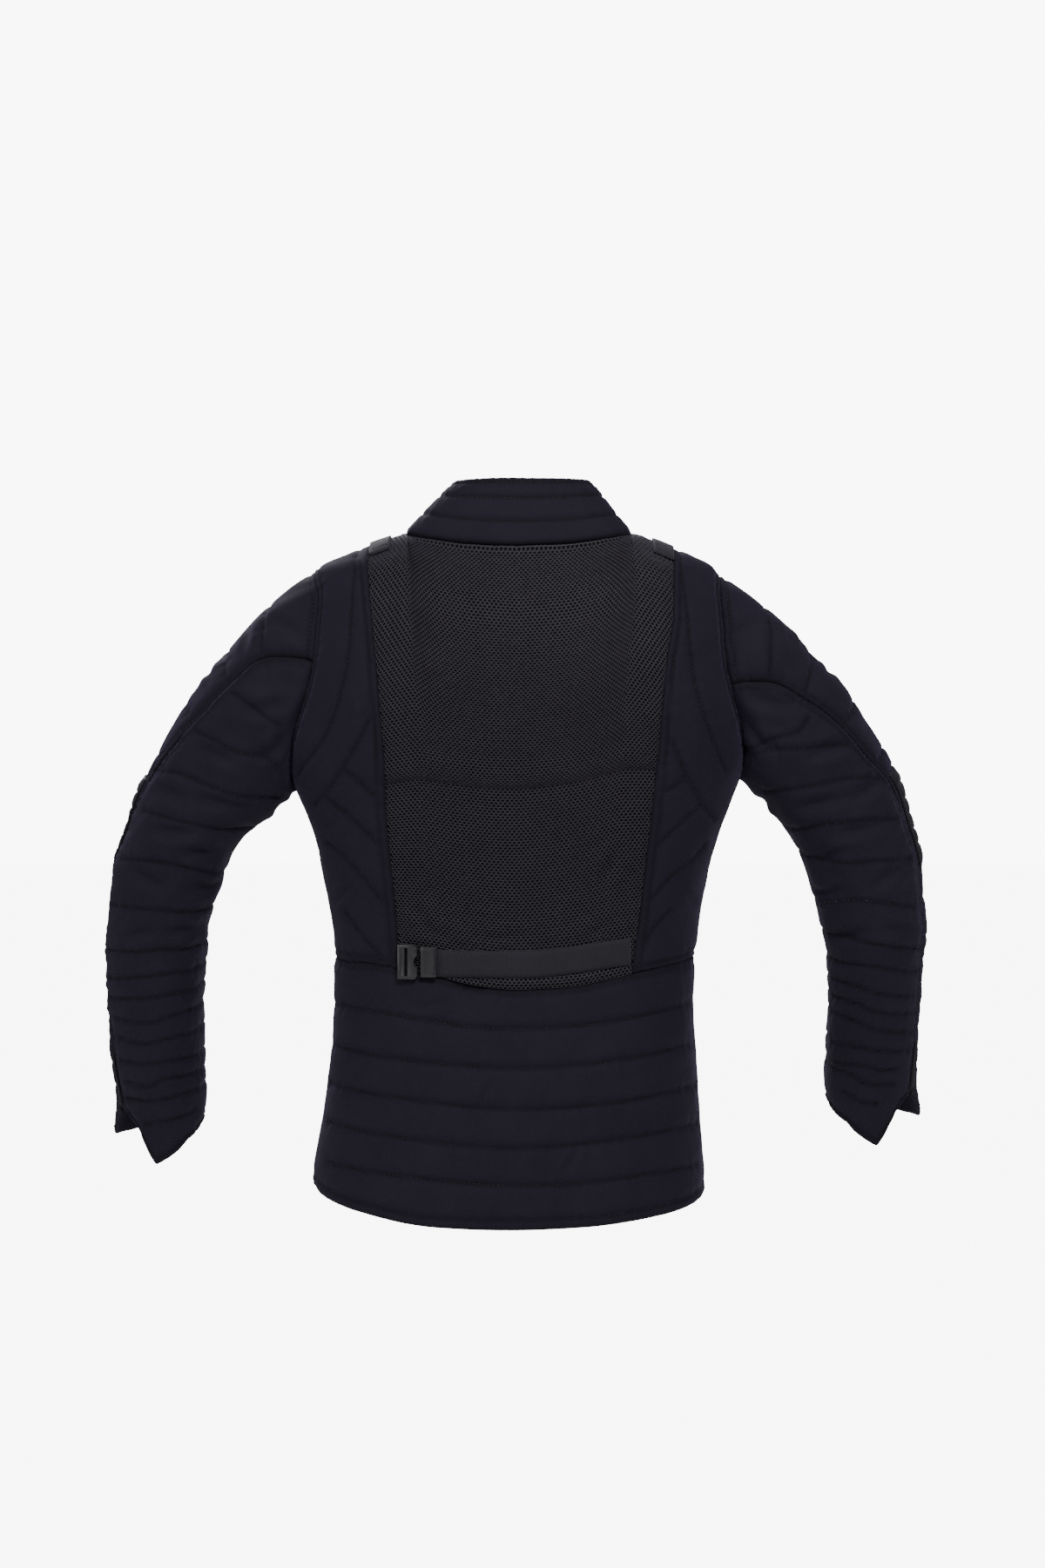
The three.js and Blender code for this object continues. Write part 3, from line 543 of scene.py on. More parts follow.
class CollarForm:
    """Outer surface of the stand collar, by turn and by its share of the rise."""

    half, back_shift, back, front = 66, -7, 42, 62
    top = COLLAR_TOP.curve("turn", "z")

    def point(self, turn: Array, rise: Array) -> Array:
        """Point of the collar.

        Args:
            turn: Degrees from the centre back.
            rise: 0 at the neck seam, 1 at the top edge.

        Returns:
            Points.
        """
        base = BODY_FORM.point(turn, BODY_FORM.neck(turn))
        across, deep = oval(turn, BODY_SQUARENESS)
        depth = np.where(deep > 0, self.back, self.front)
        shift = self.back_shift * smoothstep(-0.8, 0.2, np.cos(np.radians(turn)))
        top = stack(shift + self.half * across, depth * deep, self.top(np.abs(turn)))
        return base + (top - base) * np.asarray(rise, float)[..., None]

    def normal(self, turn: Array, rise: Array) -> Array:
        """Outward direction of the collar.

        Args:
            turn: Degrees from the centre back.
            rise: Share of the rise.

        Returns:
            Unit vectors.
        """
        turn, rise = np.broadcast_arrays(np.asarray(turn, float), np.asarray(rise, float))
        return outward_normals(self.point, turn, rise, 1.5, 0.02, np.array((0, 0, -40.0)))

    def end(self, side: Side, rise: float) -> float:
        """Turn at which the collar reaches the gap at the centre front.

        Args:
            side: Which half.
            rise: Share of the rise.

        Returns:
            Degrees from the centre back.
        """
        low, high = 150.0, 180.0
        for _ in range(30):
            turn = (low + high) / 2
            clear = side.value * self.point(side.value * turn, np.asarray(rise))[0] > FRONT_EDGE
            low, high = (turn, high) if clear else (low, turn)
        return side.value * (low + high) / 2


class SleeveForm:
    """One sleeve's surface, by ring number along it and degrees round it (0 outer, 90 back)."""

    def __init__(self, side: Side) -> None:
        """Reads the sleeve's rings.

        Args:
            side: Which sleeve.
        """
        self.side, self.hand = side, side.value
        rings = SLEEVE_RINGS[side]
        self.count = len(rings.rows)
        y = rings.column("y")
        outer = stack(self.hand * rings.column("outerX"), y, rings.column("outerZ"))
        inner = stack(self.hand * rings.column("innerX"), y, rings.column("innerZ"))
        self.centre = (outer + inner) / 2
        self.outward = outer - self.centre
        self.reach = rings.column("reach")
        last = self.count - 1
        after, before = np.minimum(np.arange(1, last + 2), last), np.maximum(np.arange(-1, last), 0)
        backward = unit(np.cross(self.centre[after] - self.centre[before], self.outward))
        self.backward = np.where(backward[:, 1:2] < 0, -backward, backward)
        self.back_seam = SLEEVE_SEAMS.curve("ring", side.name)
        self.front_seam = SLEEVE_SEAMS.curve("ring", "front")
        self.cuff_end = lambda around: np.interp(around, CUFF_END.column("around"), CUFF_END.column("ring"))
        self.armhole_turn = ARMHOLE.column(side.name + "turn")
        self.armhole_z = ARMHOLE.column(side.name + "z")

    def around_armhole(self, values: Array, around: Array) -> Array:
        """Smooth closed curve through the armhole's evenly spaced values.

        Args:
            values: One value for each row of the armhole's table.
            around: Degrees round the armhole.

        Returns:
            The value at each place.
        """
        count = len(values)
        place = (np.asarray(around, float) / 360 * count) % count
        i = np.floor(place).astype(int)
        near = [values[(i + k) % count] for k in (-1, 0, 1, 2)]
        return catmull_rom(*near, place - i)

    def armhole(self, around: Array, out: float = 0) -> tuple[Array, Array]:
        """Place on the torso of the armhole seam, moved out of the opening by a distance.

        Args:
            around: Degrees round the armhole.
            out: Distance, negative to shrink the loop.

        Returns:
            Turns and heights.
        """
        top, bottom = self.armhole_z[0], self.armhole_z[len(self.armhole_z) // 2]
        middle = (top + bottom) / 2
        grow = 1 + out / 100
        turn = 90 + (self.around_armhole(self.armhole_turn, around) - 90) * grow
        return self.hand * turn, middle + (self.around_armhole(self.armhole_z, around) - middle) * grow

    def ring_point(self, number: Array, around: Array) -> Array:
        """Point of a whole-numbered ring. Ring 0 and below lie on the torso.

        Args:
            number: Ring numbers.
            around: Degrees round the sleeve.

        Returns:
            Points.
        """
        seam = BODY_FORM.point(*self.armhole(around, -2 * SEAM_GAP))
        row = np.clip(number, 1, self.count) - 1
        across, deep = oval(around, SLEEVE_SQUARENESS)
        ring = (self.centre[row] + self.outward[row] * deep[..., None]
                + self.backward[row] * (self.reach[row] * across)[..., None])
        return np.where((number <= 0)[..., None], seam, ring)

    def surface(self, ring: Array, around: Array, flare: bool = True) -> Array:
        """Point of the sleeve.

        Args:
            ring: Ring numbers, with fractions.
            around: Degrees round the sleeve.
            flare: Whether the cuff's front wing stands out.

        Returns:
            Points.
        """
        ring, around = np.broadcast_arrays(np.asarray(ring, float), np.asarray(around, float))
        i = np.clip(np.floor(ring), 0, self.count - 1).astype(int)
        near = [self.ring_point(i + k, around) for k in (-1, 0, 1, 2)]
        point = catmull_rom(*near, (ring - i)[..., None])
        if flare:
            wing = smoothstep(CUFF_RING - 0.1, CUFF_RING + 0.65, ring)
            facing = np.maximum(0, np.cos(np.radians(around + 5))) ** 3
            point[..., 0] += self.hand * CUFF_FLARE * wing * facing
        return point

    def at(self, ring: Array, around: Array, flare: bool = True) -> tuple[Array, Array]:
        """Point and outward direction on the sleeve. At the armhole it shares the torso's.

        Args:
            ring: Ring numbers, with fractions.
            around: Degrees round the sleeve.
            flare: Whether the cuff's front wing stands out.

        Returns:
            Points and unit vectors.
        """
        ring, around = np.broadcast_arrays(np.asarray(ring, float), np.asarray(around, float))
        surface = lambda u, v: self.surface(u, v, flare)
        middle = sum(self.surface(ring, np.full(ring.shape, turn), False) for turn in (0, 90, 180, 270)) / 4
        own = outward_normals(surface, np.maximum(ring, 0.06), around, 0.05, 3, middle)
        shared = BODY_FORM.normal(*self.armhole(around))
        blend = np.clip(ring / 0.5, 0, 1)[..., None]
        return surface(ring, around), unit(shared + (own - shared) * blend)


SLEEVES = {side: SleeveForm(side) for side in Side}
COLLAR_FORM = CollarForm()


# --- Grids and lines on the surfaces ---
@dataclass
class Line:
    """A line on a surface: its points, outward directions and thread."""

    points: Array
    normals: Array
    thread: Thread = Thread.TONAL

    def spaced(self, step: float = SAMPLE_STEP) -> "Line":
        """The same line with its points a step apart.

        Args:
            step: Distance between points.

        Returns:
            The new line.
        """
        run = np.concatenate([[0], np.cumsum(np.linalg.norm(np.diff(self.points, axis=0), axis=1))])
        marks = np.linspace(0, run[-1], max(2, int(run[-1] / step) + 1))
        read = lambda values: np.stack([np.interp(marks, run, values[:, k]) for k in range(3)], -1)
        return Line(read(self.points), unit(read(self.normals)), self.thread)


def through(points: Places, count: int = 48) -> Array:
    """Smooth run through a few places of a surface.

    Args:
        points: Two parameters for each place.
        count: How many places to return.

    Returns:
        An array of that many pairs.
    """
    given = np.array(points, float)
    padded = np.concatenate([2 * given[:1] - given[1:2], given, 2 * given[-1:] - given[-2:-1]])
    place = np.linspace(0, len(given) - 1, count)
    i = np.minimum(np.floor(place).astype(int), len(given) - 2)
    near = [padded[i + k] for k in range(4)]
    return catmull_rom(*near, (place - i)[:, None])


def torso_line(points: Places, thread: Thread = Thread.TONAL, front: bool = False) -> Line:
    """Line on the back or the front through a few places given by x and z.

    Args:
        points: x and z of each place.
        thread: What it is sewn with.
        front: Whether it lies on the front.

    Returns:
        The line.
    """
    x, z = through(points).T
    turn = BODY_FORM.turn_at(x, z)
    if front:
        turn = np.sign(x) * 180 - turn
    return Line(BODY_FORM.point(turn, z), BODY_FORM.normal(turn, z), thread).spaced()


def sleeve_line(form: SleeveForm, points: Places, thread: Thread = Thread.TONAL) -> Line:
    """Line on a sleeve through a few places given by ring and degrees round.

    Args:
        form: The sleeve.
        points: Ring and degrees round of each place.
        thread: What it is sewn with.

    Returns:
        The line.
    """
    ring, around = through(points).T
    return Line(*form.at(ring, around), thread).spaced()


@dataclass
class Grid:
    """Rows and columns of points on a surface with their outward directions."""

    points: Array
    normals: Array

    def borders(self) -> list[Line]:
        """First and last row, then first and last column, as lines without thread.

        Returns:
            The four lines.
        """
        whole = slice(None)
        picks = ((0, whole), (-1, whole), (whole, 0), (whole, -1))
        return [Line(self.points[pick], self.normals[pick], Thread.NONE).spaced() for pick in picks]

    def inset(self, edge: str, distance: float, thread: Thread = Thread.TONAL) -> Line:
        """Line that runs a distance inside one edge.

        Args:
            edge: "top", "bottom", "first" or "last".
            distance: How far inside.
            thread: What it is sewn with.

        Returns:
            The line.
        """
        points, normals = self.points, self.normals
        if edge in ("top", "bottom"):
            points, normals = points.swapaxes(0, 1), normals.swapaxes(0, 1)
        if edge in ("bottom", "last"):
            points, normals = points[:, ::-1], normals[:, ::-1]
        step = np.linalg.norm(np.diff(points, axis=1), axis=-1)
        run = np.concatenate([np.zeros((len(points), 1)), np.cumsum(step, axis=1)], axis=1)
        found = [[np.interp(distance, run[i], values[i, :, k]) for k in range(3)]
                 for values in (points, normals) for i in range(len(points))]
        lines = np.array(found).reshape(2, len(points), 3)
        margin = max(1, int(distance / max(1e-6, np.linalg.norm(lines[0, 1] - lines[0, 0]))))
        keep = slice(margin, len(points) - margin)
        return Line(lines[0, keep], unit(lines[1, keep]), thread).spaced()

    def flat_lengths(self) -> Array:
        """Distances along the rows and down the columns to each point, in metres.

        Returns:
            Two distances for each point.
        """
        across = np.linalg.norm(np.diff(self.points, axis=1), axis=-1)
        down = np.linalg.norm(np.diff(self.points, axis=0), axis=-1)
        u = np.concatenate([np.zeros((len(self.points), 1)), np.cumsum(across, axis=1)], axis=1)
        v = np.concatenate([np.zeros((1, self.points.shape[1])), np.cumsum(down, axis=0)], axis=0)
        u = u - u[:, u.shape[1] // 2][:, None]
        return np.stack([u, v], -1) * MM


def torso_grid(top: Array, bottom: Array, first: Array, last: Array) -> Grid:
    """Fills four borders of places on the torso with an even grid.

    Args:
        top: Turn and z along the first row.
        bottom: Turn and z along the last row.
        first: Turn and z down the first column.
        last: Turn and z down the last column.

    Returns:
        The grid.
    """
    t, b, f, l = (BODY_FORM.point(border[:, 0], border[:, 1]) for border in (top, bottom, first, last))
    v = np.linspace(0, 1, len(first))[:, None, None]
    u = np.linspace(0, 1, len(top))[None, :, None]
    corners = (1 - v) * ((1 - u) * t[0] + u * t[-1]) + v * ((1 - u) * b[0] + u * b[-1])
    even = (1 - v) * t[None] + v * b[None] + (1 - u) * f[:, None] + u * l[:, None] - corners
    turn, z = BODY_FORM.place_near(even)
    for k, values in enumerate((turn, z)):
        values[0], values[-1] = top[:, k], bottom[:, k]
        values[:, 0], values[:, -1] = first[:, k], last[:, k]
    return Grid(BODY_FORM.point(turn, z), BODY_FORM.normal(turn, z))


def between(start: Array, end: Array, count: int) -> Array:
    """Evenly spaced places between two.

    Args:
        start: Turn and z of the first.
        end: Turn and z of the last.
        count: Number of steps.

    Returns:
        Places, one more than the steps.
    """
    return np.array(start) + (np.array(end) - np.array(start)) * np.linspace(0, 1, count + 1)[:, None]


def joined(*lists: Array) -> Array:
    """Lists that share their end places, as one.

    Args:
        *lists: The lists, end to end.

    Returns:
        The places.
    """
    return np.concatenate([lists[0], *(part[1:] for part in lists[1:])])


def along_seam(start: float, end: float, count: int, height: Callable[[Array], Array]) -> Array:
    """Places along a seam that runs round the body.

    Args:
        start: First turn.
        end: Last turn.
        count: Number of steps.
        height: Height of the seam at each turn.

    Returns:
        Places.
    """
    turn = np.linspace(start, end, count + 1)
    return np.stack([turn, height(turn)], -1)


@dataclass
class Steps:
    """Number of grid steps along each seam, shared by the pieces that meet there."""

    side_panel: int = 42
    shoulder_by_mesh: int = 14
    neck_back: int = 78
    neck_front: int = 40
    armhole: int = 84
    side_seam: int = 62
    skirt: int = 84


STEPS = Steps()


class Half:
    """All seam lines of one half of the jacket."""

    def __init__(self, side: Side) -> None:
        """Places the half's seams.

        Args:
            side: Which half.
        """
        self.side, self.hand, self.sleeve = side, side.value, SLEEVES[side]
        mesh_x = MESH_EDGE.curve("z", side.name)
        neck = self.hand * SHOULDER_SEAM
        self.neck = np.array((neck, float(BODY_FORM.neck(neck))))
        self.mesh_top = np.array((neck, BODY_FORM.shoulder_height(side, float(mesh_x(0)))))
        self.armhole_top = np.array(self.sleeve.armhole(0.0))
        self.waist_side = self.on_seam(self.hand * SIDE_SEAM, BODY_FORM.waist)
        self.hem_side = self.on_seam(self.hand * SIDE_SEAM, BODY_FORM.hem)
        guess = BODY_FORM.waist(self.hand * 36.5)
        self.mesh_bottom = self.on_seam(
            float(BODY_FORM.turn_at(self.hand * mesh_x(guess), guess)), BODY_FORM.waist)
        outer = self.outer_back()
        down = (outer[:, 1] - outer[0, 1]) / (outer[-1, 1] - outer[0, 1])
        height = self.mesh_top[1] + (self.mesh_bottom[1] - self.mesh_top[1]) * down
        self.mesh_edge = np.stack([BODY_FORM.turn_at(self.hand * mesh_x(height), height), height], -1)
        self.mesh_edge[0], self.mesh_edge[-1] = self.mesh_top, self.mesh_bottom

    def on_seam(self, turn: float, height: Callable[[Array], Array]) -> Array:
        """The place of a seam at one turn.

        Args:
            turn: Degrees from the centre back.
            height: Height of the seam at each turn.

        Returns:
            The place.
        """
        return np.array((turn, float(height(turn))))

    def armhole_half(self, bottom: float) -> Array:
        """Places down one half of the armhole, to its bottom at plus or minus 180 degrees.

        Args:
            bottom: Degrees round the armhole of its bottom.

        Returns:
            Places.
        """
        return np.stack(self.sleeve.armhole(np.linspace(0, bottom, STEPS.armhole + 1)), -1)

    def outer_back(self) -> Array:
        """Armhole's back and the side seam, down to the waist.

        Returns:
            Places.
        """
        armhole = self.armhole_half(180)
        return joined(armhole, between(armhole[-1], self.waist_side, STEPS.side_seam))

    def outer_front(self) -> Array:
        """Armhole's front and the side seam, down to the hem.

        Returns:
            Places.
        """
        armhole = self.armhole_half(-180)
        seam = between(armhole[-1], self.waist_side, STEPS.side_seam)
        return joined(armhole, seam, between(self.waist_side, self.hem_side, STEPS.skirt))

    def shoulder(self) -> Array:
        """The shoulder seam from the neck to the armhole.

        Returns:
            Places.
        """
        return joined(between(self.neck, self.mesh_top, STEPS.shoulder_by_mesh),
                      between(self.mesh_top, self.armhole_top, STEPS.side_panel))

    def front_edge(self, count: int) -> Array:
        """Centre front edge, from the neck seam to the hem.

        Args:
            count: Number of steps.

        Returns:
            Places.
        """
        z = np.linspace(float(BODY_FORM.neck(180)), float(BODY_FORM.hem(180)), count + 1)
        turn = self.hand * (180 - np.abs(BODY_FORM.turn_at(self.hand * FRONT_EDGE, z)))
        return np.stack([turn, z], -1)


HALVES = {side: Half(side) for side in Side}


# --- Relief of quilted cloth ---
def nearest(points: Array, samples: Array) -> tuple[Array, Array]:
    """Distance from each point to the nearest sample, and that sample's number.

    Args:
        points: Points, one row each.
        samples: Samples, one row each.

    Returns:
        Distances and numbers.
    """
    distance, number = np.empty(len(points)), np.empty(len(points), int)
    squares = np.sum(samples ** 2, axis=1)
    for start in range(0, len(points), 2048):
        some = points[start:start + 2048]
        square = squares - 2 * some @ samples.T
        number[start:start + 2048] = best = np.argmin(square, axis=1)
        distance[start:start + 2048] = np.linalg.norm(some - samples[best], axis=1)
    return distance, number


def ripple(points: Array, seed: int, wavelength: float, count: int = 7) -> Array:
    """Smooth seeded waviness through space, between about -1 and 1.

    Args:
        points: Where to read it.
        seed: Seed of its directions.
        wavelength: Mean distance from crest to crest.
        count: Number of waves laid over each other.

    Returns:
        One value for each point.
    """
    dice = np.random.default_rng(seed)
    directions = unit(dice.normal(size=(count, 3))) * (2 * math.pi / wavelength)
    directions *= dice.uniform(0.7, 1.4, size=(count, 1))
    return np.sin(points @ directions.T + dice.uniform(0, 6.28, count)).sum(-1) / math.sqrt(2 * count)


@dataclass
class Crease:
    """A soft fold: a valley along a line with a low ridge on each side."""

    line: Line
    depth: float = 1.6
    width: float = 6.0

    def height(self, points: Array) -> Array:
        """Height of the fold at each point.

        Args:
            points: Points of the surface.

        Returns:
            Heights, negative in the valley.
        """
        distance, number = nearest(points, self.line.points)
        taper = np.sin(math.pi * (number + 0.5) / len(self.line.points)) ** 0.6
        near = distance / self.width
        return self.depth * taper * (0.75 * np.exp(-((near - 1.5) ** 2) * 1.4) - np.exp(-near ** 2 * 1.6))


@dataclass
class Relief:
    """How a quilted face stands over its base: puffed between lines and puckered along them."""

    lines: Sequence[Line]
    seed: int
    puff: float = 1.5
    groove: float = 1.5
    reach: float = 8.0
    pucker: float = 0.95
    wave: float = 0.9
    creases: Sequence[Crease] = ()
    pressed: Optional[Array] = None
    press_from: float = 2.0
    press_to: float = 9.0
    pucker_waves: Places = ((8, 0.45), (11.5, 0.5), (19, 0.4))
    pucker_fall: float = 5.5
    line_width: float = 1.7
    broad_wave: float = 85
    fine_wave: float = 28
    fine_share: float = 0.35

    def __post_init__(self) -> None:
        """Gathers the samples of all the lines and their puckers."""
        dice = np.random.default_rng(self.seed)
        self.samples = np.concatenate([line.points for line in self.lines])
        rise = []
        for line in self.lines:
            run = np.arange(len(line.points)) * SAMPLE_STEP
            rise.append(sum(
                np.sin(run * 2 * math.pi / length + dice.uniform(0, 6.28)) * share
                for length, share in self.pucker_waves))
        self.rise = np.concatenate(rise)

    def height(self, points: Array) -> tuple[Array, Array]:
        """Height over the base and nearness to a line, for points of any array shape.

        Args:
            points: Points of the base surface.

        Returns:
            Heights in millimetres, and a mask that is 1 on a line and falls to 0 beside it.
        """
        flat = points.reshape(-1, 3)
        distance, number = nearest(flat, self.samples)
        share = 1 - np.minimum(distance / self.reach, 1)
        height = (self.puff + self.groove) * (1 - share ** 2) ** 0.6 - self.groove
        pucker = self.pucker * np.exp(-distance / self.pucker_fall) * self.rise[number]
        height += pucker * smoothstep(0, 2, distance)
        fine = self.fine_share * ripple(flat, self.seed + 1, self.fine_wave)
        height += self.wave * (ripple(flat, self.seed, self.broad_wave) + fine)
        for crease in self.creases:
            height += crease.height(flat)
        if self.pressed is not None:
            away, _ = nearest(flat, self.pressed)
            height *= smoothstep(self.press_from, self.press_to, away)
        # The mask marks where the material paints shade along the stitch lines.
        mask = np.exp(-distance / self.line_width)
        return height.reshape(points.shape[:-1]), mask.reshape(points.shape[:-1])


# --- Meshes ---
def make_piece(name: str, points: Array, faces: Sequence[Sequence[int]], material: Material,
               slot: str, uv: Optional[Array] = None, mask: Optional[Array] = None,
               body: str = BODY) -> Piece:
    """Makes a smooth mesh object at the origin that rides on a body.

    Args:
        name: Name of the piece.
        points: Vertices in millimetres.
        faces: Vertex numbers of each face.
        material: Its material.
        slot: Not used.
        uv: Two coordinates for each vertex, in metres.
        mask: One value for each vertex, kept as the attribute "seam".
        body: The body it rides on.

    Returns:
        The object.
    """
    mesh = bpy.data.meshes.new(name)
    mesh.from_pydata((np.asarray(points) * MM).tolist(), [], [list(map(int, face)) for face in faces])
    mesh.polygons.foreach_set("use_smooth", np.ones(len(mesh.polygons), bool))
    if uv is not None:
        corners = np.empty(len(mesh.loops), np.int32)
        mesh.loops.foreach_get("vertex_index", corners)
        mesh.uv_layers.new(name="cloth").data.foreach_set("uv", uv[corners].astype(np.float32).ravel())
    # The seam attribute tells the material where to paint shade along stitch lines.
    if mask is not None:
        mesh.attributes.new("seam", "FLOAT", "POINT").data.foreach_set("value", mask.astype(np.float32))
    mesh.materials.append(material)
    mesh.update()
    piece = bpy.data.objects.new(name, mesh)
    bpy.context.scene.collection.objects.link(piece)
    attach(piece, body)
    return piece


def wall_faces(tall: int, wide: int) -> Array:
    """Faces of a closed wall between two layers of the same grid.

    Args:
        tall: Rows.
        wide: Columns.

    Returns:
        Four vertex numbers a face.
    """
    outer, inner = np.arange(2 * tall * wide).reshape(2, tall, wide)
    quads = lambda a, b, c, d: np.stack([a.ravel(), b.ravel(), c.ravel(), d.ravel()], -1)
    return np.concatenate([
        quads(outer[:-1, :-1], outer[:-1, 1:], outer[1:, 1:], outer[1:, :-1]),
        quads(inner[:-1, :-1], inner[1:, :-1], inner[1:, 1:], inner[:-1, 1:]),
        quads(outer[0, 1:], outer[0, :-1], inner[0, :-1], inner[0, 1:]),
        quads(outer[-1, :-1], outer[-1, 1:], inner[-1, 1:], inner[-1, :-1]),
        quads(outer[:-1, 0], outer[1:, 0], inner[1:, 0], inner[:-1, 0]),
        quads(outer[1:, -1], outer[:-1, -1], inner[:-1, -1], inner[1:, -1]),
    ])


def faces_out(points: Array, faces: Array) -> Array:
    """Faces turned, if need be, so that they enclose a positive volume.

    Args:
        points: Vertices.
        faces: Four vertex numbers a face.

    Returns:
        The faces.
    """
    a, b, c, d = (points[faces[:, k]] for k in range(4))
    volume = np.sum(a * np.cross(b, c)) + np.sum(a * np.cross(c, d))
    return faces if volume > 0 else faces[:, ::-1]


def wall_piece(name: str, grid: Grid, outer: Array, thickness: float, material: Material,
               slot: str, mask: Optional[Array] = None) -> Piece:
    """Closed cloth wall whose face stands over a grid.

    Args:
        name: Name of the piece.
        grid: The base surface.
        outer: Height of the face over the base at each point.
        thickness: How far under the base the inner face lies.
        material: Its material.
        slot: Handed on to make_piece.
        mask: Nearness to a line at each point.

    Returns:
        The object.
    """
    tall, wide = grid.points.shape[:2]
    face = grid.points + grid.normals * np.asarray(outer)[..., None]
    back = grid.points - grid.normals * thickness
    points = np.concatenate([face.reshape(-1, 3), back.reshape(-1, 3)])
    faces = faces_out(points, wall_faces(tall, wide))
    uv = np.tile(grid.flat_lengths().reshape(-1, 2), (2, 1))
    shade = np.zeros((tall, wide)) if mask is None else mask
    mask = np.concatenate([shade.ravel(), np.zeros(tall * wide)])
    return make_piece(name, points, faces, material, slot, uv, mask)


@dataclass
class Stitches:
    """Rows of short raised stitches."""

    length: float = 3.0
    pitch: float = 4.3
    radius: float = 0.34

    def build(self, name: str, lines: Sequence[Line], relief: Relief, material: Material,
              slot: str) -> Optional[Piece]:
        """Makes the stitches of some lines as one piece.

        Args:
            name: Name of the piece.
            lines: The sewn lines.
            relief: Height of the cloth that they lie on.
            material: Their material.
            slot: Handed on to make_piece.

        Returns:
            The object, or None where nothing is sewn.
        """
        starts, ends, ups = [], [], []
        for line in lines:
            fine = line.spaced(0.5)
            at = np.arange(0, len(fine.points) - int(self.length * 2) - 1, int(round(self.pitch * 2)))
            if len(at) == 0:
                continue
            lifted = fine.points + fine.normals * relief.height(fine.points)[0][:, None]
            starts.append(lifted[at])
            ends.append(lifted[at + int(self.length * 2)])
            ups.append(fine.normals[at])
        if not starts:
            return None
        start, end, up = np.concatenate(starts), np.concatenate(ends), unit(np.concatenate(ups))
        along = unit(end - start)
        side = unit(np.cross(along, up))
        ring = []
        for share in (0.22, 0.78):
            centre = start + (end - start) * share + up * (self.radius * 0.6)
            ring += [centre + (side * a + up * b) * self.radius
                     for a, b in ((1, 0), (0, 1), (-1, 0), (0, -1))]
        tips = [start - up * 0.25, end - up * 0.25]
        points = np.stack([*tips, *ring], axis=1)
        shape = [(0, 3, 2), (0, 4, 3), (0, 5, 4), (0, 2, 5), (1, 6, 7), (1, 7, 8), (1, 8, 9), (1, 9, 6),
                 (2, 3, 7, 6), (3, 4, 8, 7), (4, 5, 9, 8), (5, 2, 6, 9)]
        faces = [tuple(10 * k + corner for corner in face) for k in range(len(start)) for face in shape]
        return make_piece(name, points.reshape(-1, 3), faces, material, slot)


# --- Finishes ---
Colour = Triple


class NodeGraph:
    """Adds and joins the nodes of one tree."""

    def __init__(self, tree: bpy.types.NodeTree) -> None:
        """Starts on a tree.

        Args:
            tree: A material's tree or a group.
        """
        self.tree = tree

    def add(self, kind: str, settings: Optional[dict] = None, **inputs: object) -> bpy.types.Node:
        """Adds a node, sets its properties and fills its inputs.

        Args:
            kind: Type of the node, without the "ShaderNode" in front.
            settings: Properties of the node.
            **inputs: Sockets by name, underscores for spaces, each a value or an output to join.

        Returns:
            The node.
        """
        node = self.tree.nodes.new("ShaderNode" + kind)
        for key, value in (settings or {}).items():
            setattr(node, key, value)
        for key, value in inputs.items():
            socket = node.inputs[int(key[1:])] if key[1:].isdigit() else node.inputs[key.replace("_", " ")]
            if isinstance(value, bpy.types.NodeSocket):
                self.tree.links.new(value, socket)
            else:
                socket.default_value = value
        return node

    def maths(self, operation: str, *values: object) -> bpy.types.NodeSocket:
        """Result of a Math node over the given values or outputs.

        Args:
            operation: What it does.
            *values: Numbers or outputs.

        Returns:
            Its output.
        """
        inputs = {f"_{k}": value for k, value in enumerate(values)}
        return self.add("Math", {"operation": operation}, **inputs).outputs[0]


def shader_group(name: str, inputs: dict, outputs: dict,
                 fill: Callable[[NodeGraph, bpy.types.Node, bpy.types.Node], None]) -> bpy.types.NodeTree:
    """Makes a shader node group with named sockets.

    Args:
        name: Name of the group.
        inputs: Socket type and default by name.
        outputs: Socket type by name.
        fill: Adds the nodes between the group's input and output.

    Returns:
        The group.
    """
    tree = bpy.data.node_groups.new(name, "ShaderNodeTree")
    for label, (kind, default) in inputs.items():
        socket = tree.interface.new_socket(label, in_out="INPUT", socket_type="NodeSocket" + kind)
        socket.default_value = default
    for label, kind in outputs.items():
        tree.interface.new_socket(label, in_out="OUTPUT", socket_type="NodeSocket" + kind)
    start, end = tree.nodes.new("NodeGroupInput"), tree.nodes.new("NodeGroupOutput")
    fill(NodeGraph(tree), start, end)
    return tree


def fill_mottle(graph: NodeGraph, start: bpy.types.Node, end: bpy.types.Node) -> None:
    """Uneven dye: broad patches and fine flecks that lighten and darken a colour.

    Args:
        graph: The group's tree.
        start: Its input node.
        end: Its output node.
    """
    place = graph.add("TexCoord").outputs["Object"]
    broad = graph.add("TexNoise", Vector=place, Scale=24.0, Detail=3.0).outputs["Fac"]
    fleck = graph.add("TexNoise", Vector=place, Scale=950.0, Detail=1.0).outputs["Fac"]
    mixed = graph.maths("ADD", graph.maths("MULTIPLY", broad, 0.6), graph.maths("MULTIPLY", fleck, 0.4))
    swing = graph.maths("MULTIPLY", graph.maths("SUBTRACT", mixed, 0.5), start.outputs["Spread"])
    value = graph.maths("ADD", 1.0, swing)
    tone = graph.add("CombineColor", Red=value, Green=value, Blue=value).outputs[0]
    mix = graph.add("Mix", {"data_type": "RGBA", "blend_type": "MULTIPLY"})
    mix.inputs["Factor"].default_value = 1.0
    graph.tree.links.new(start.outputs["Colour"], mix.inputs[6])
    graph.tree.links.new(tone, mix.inputs[7])
    graph.tree.links.new(mix.outputs[2], end.inputs["Colour"])


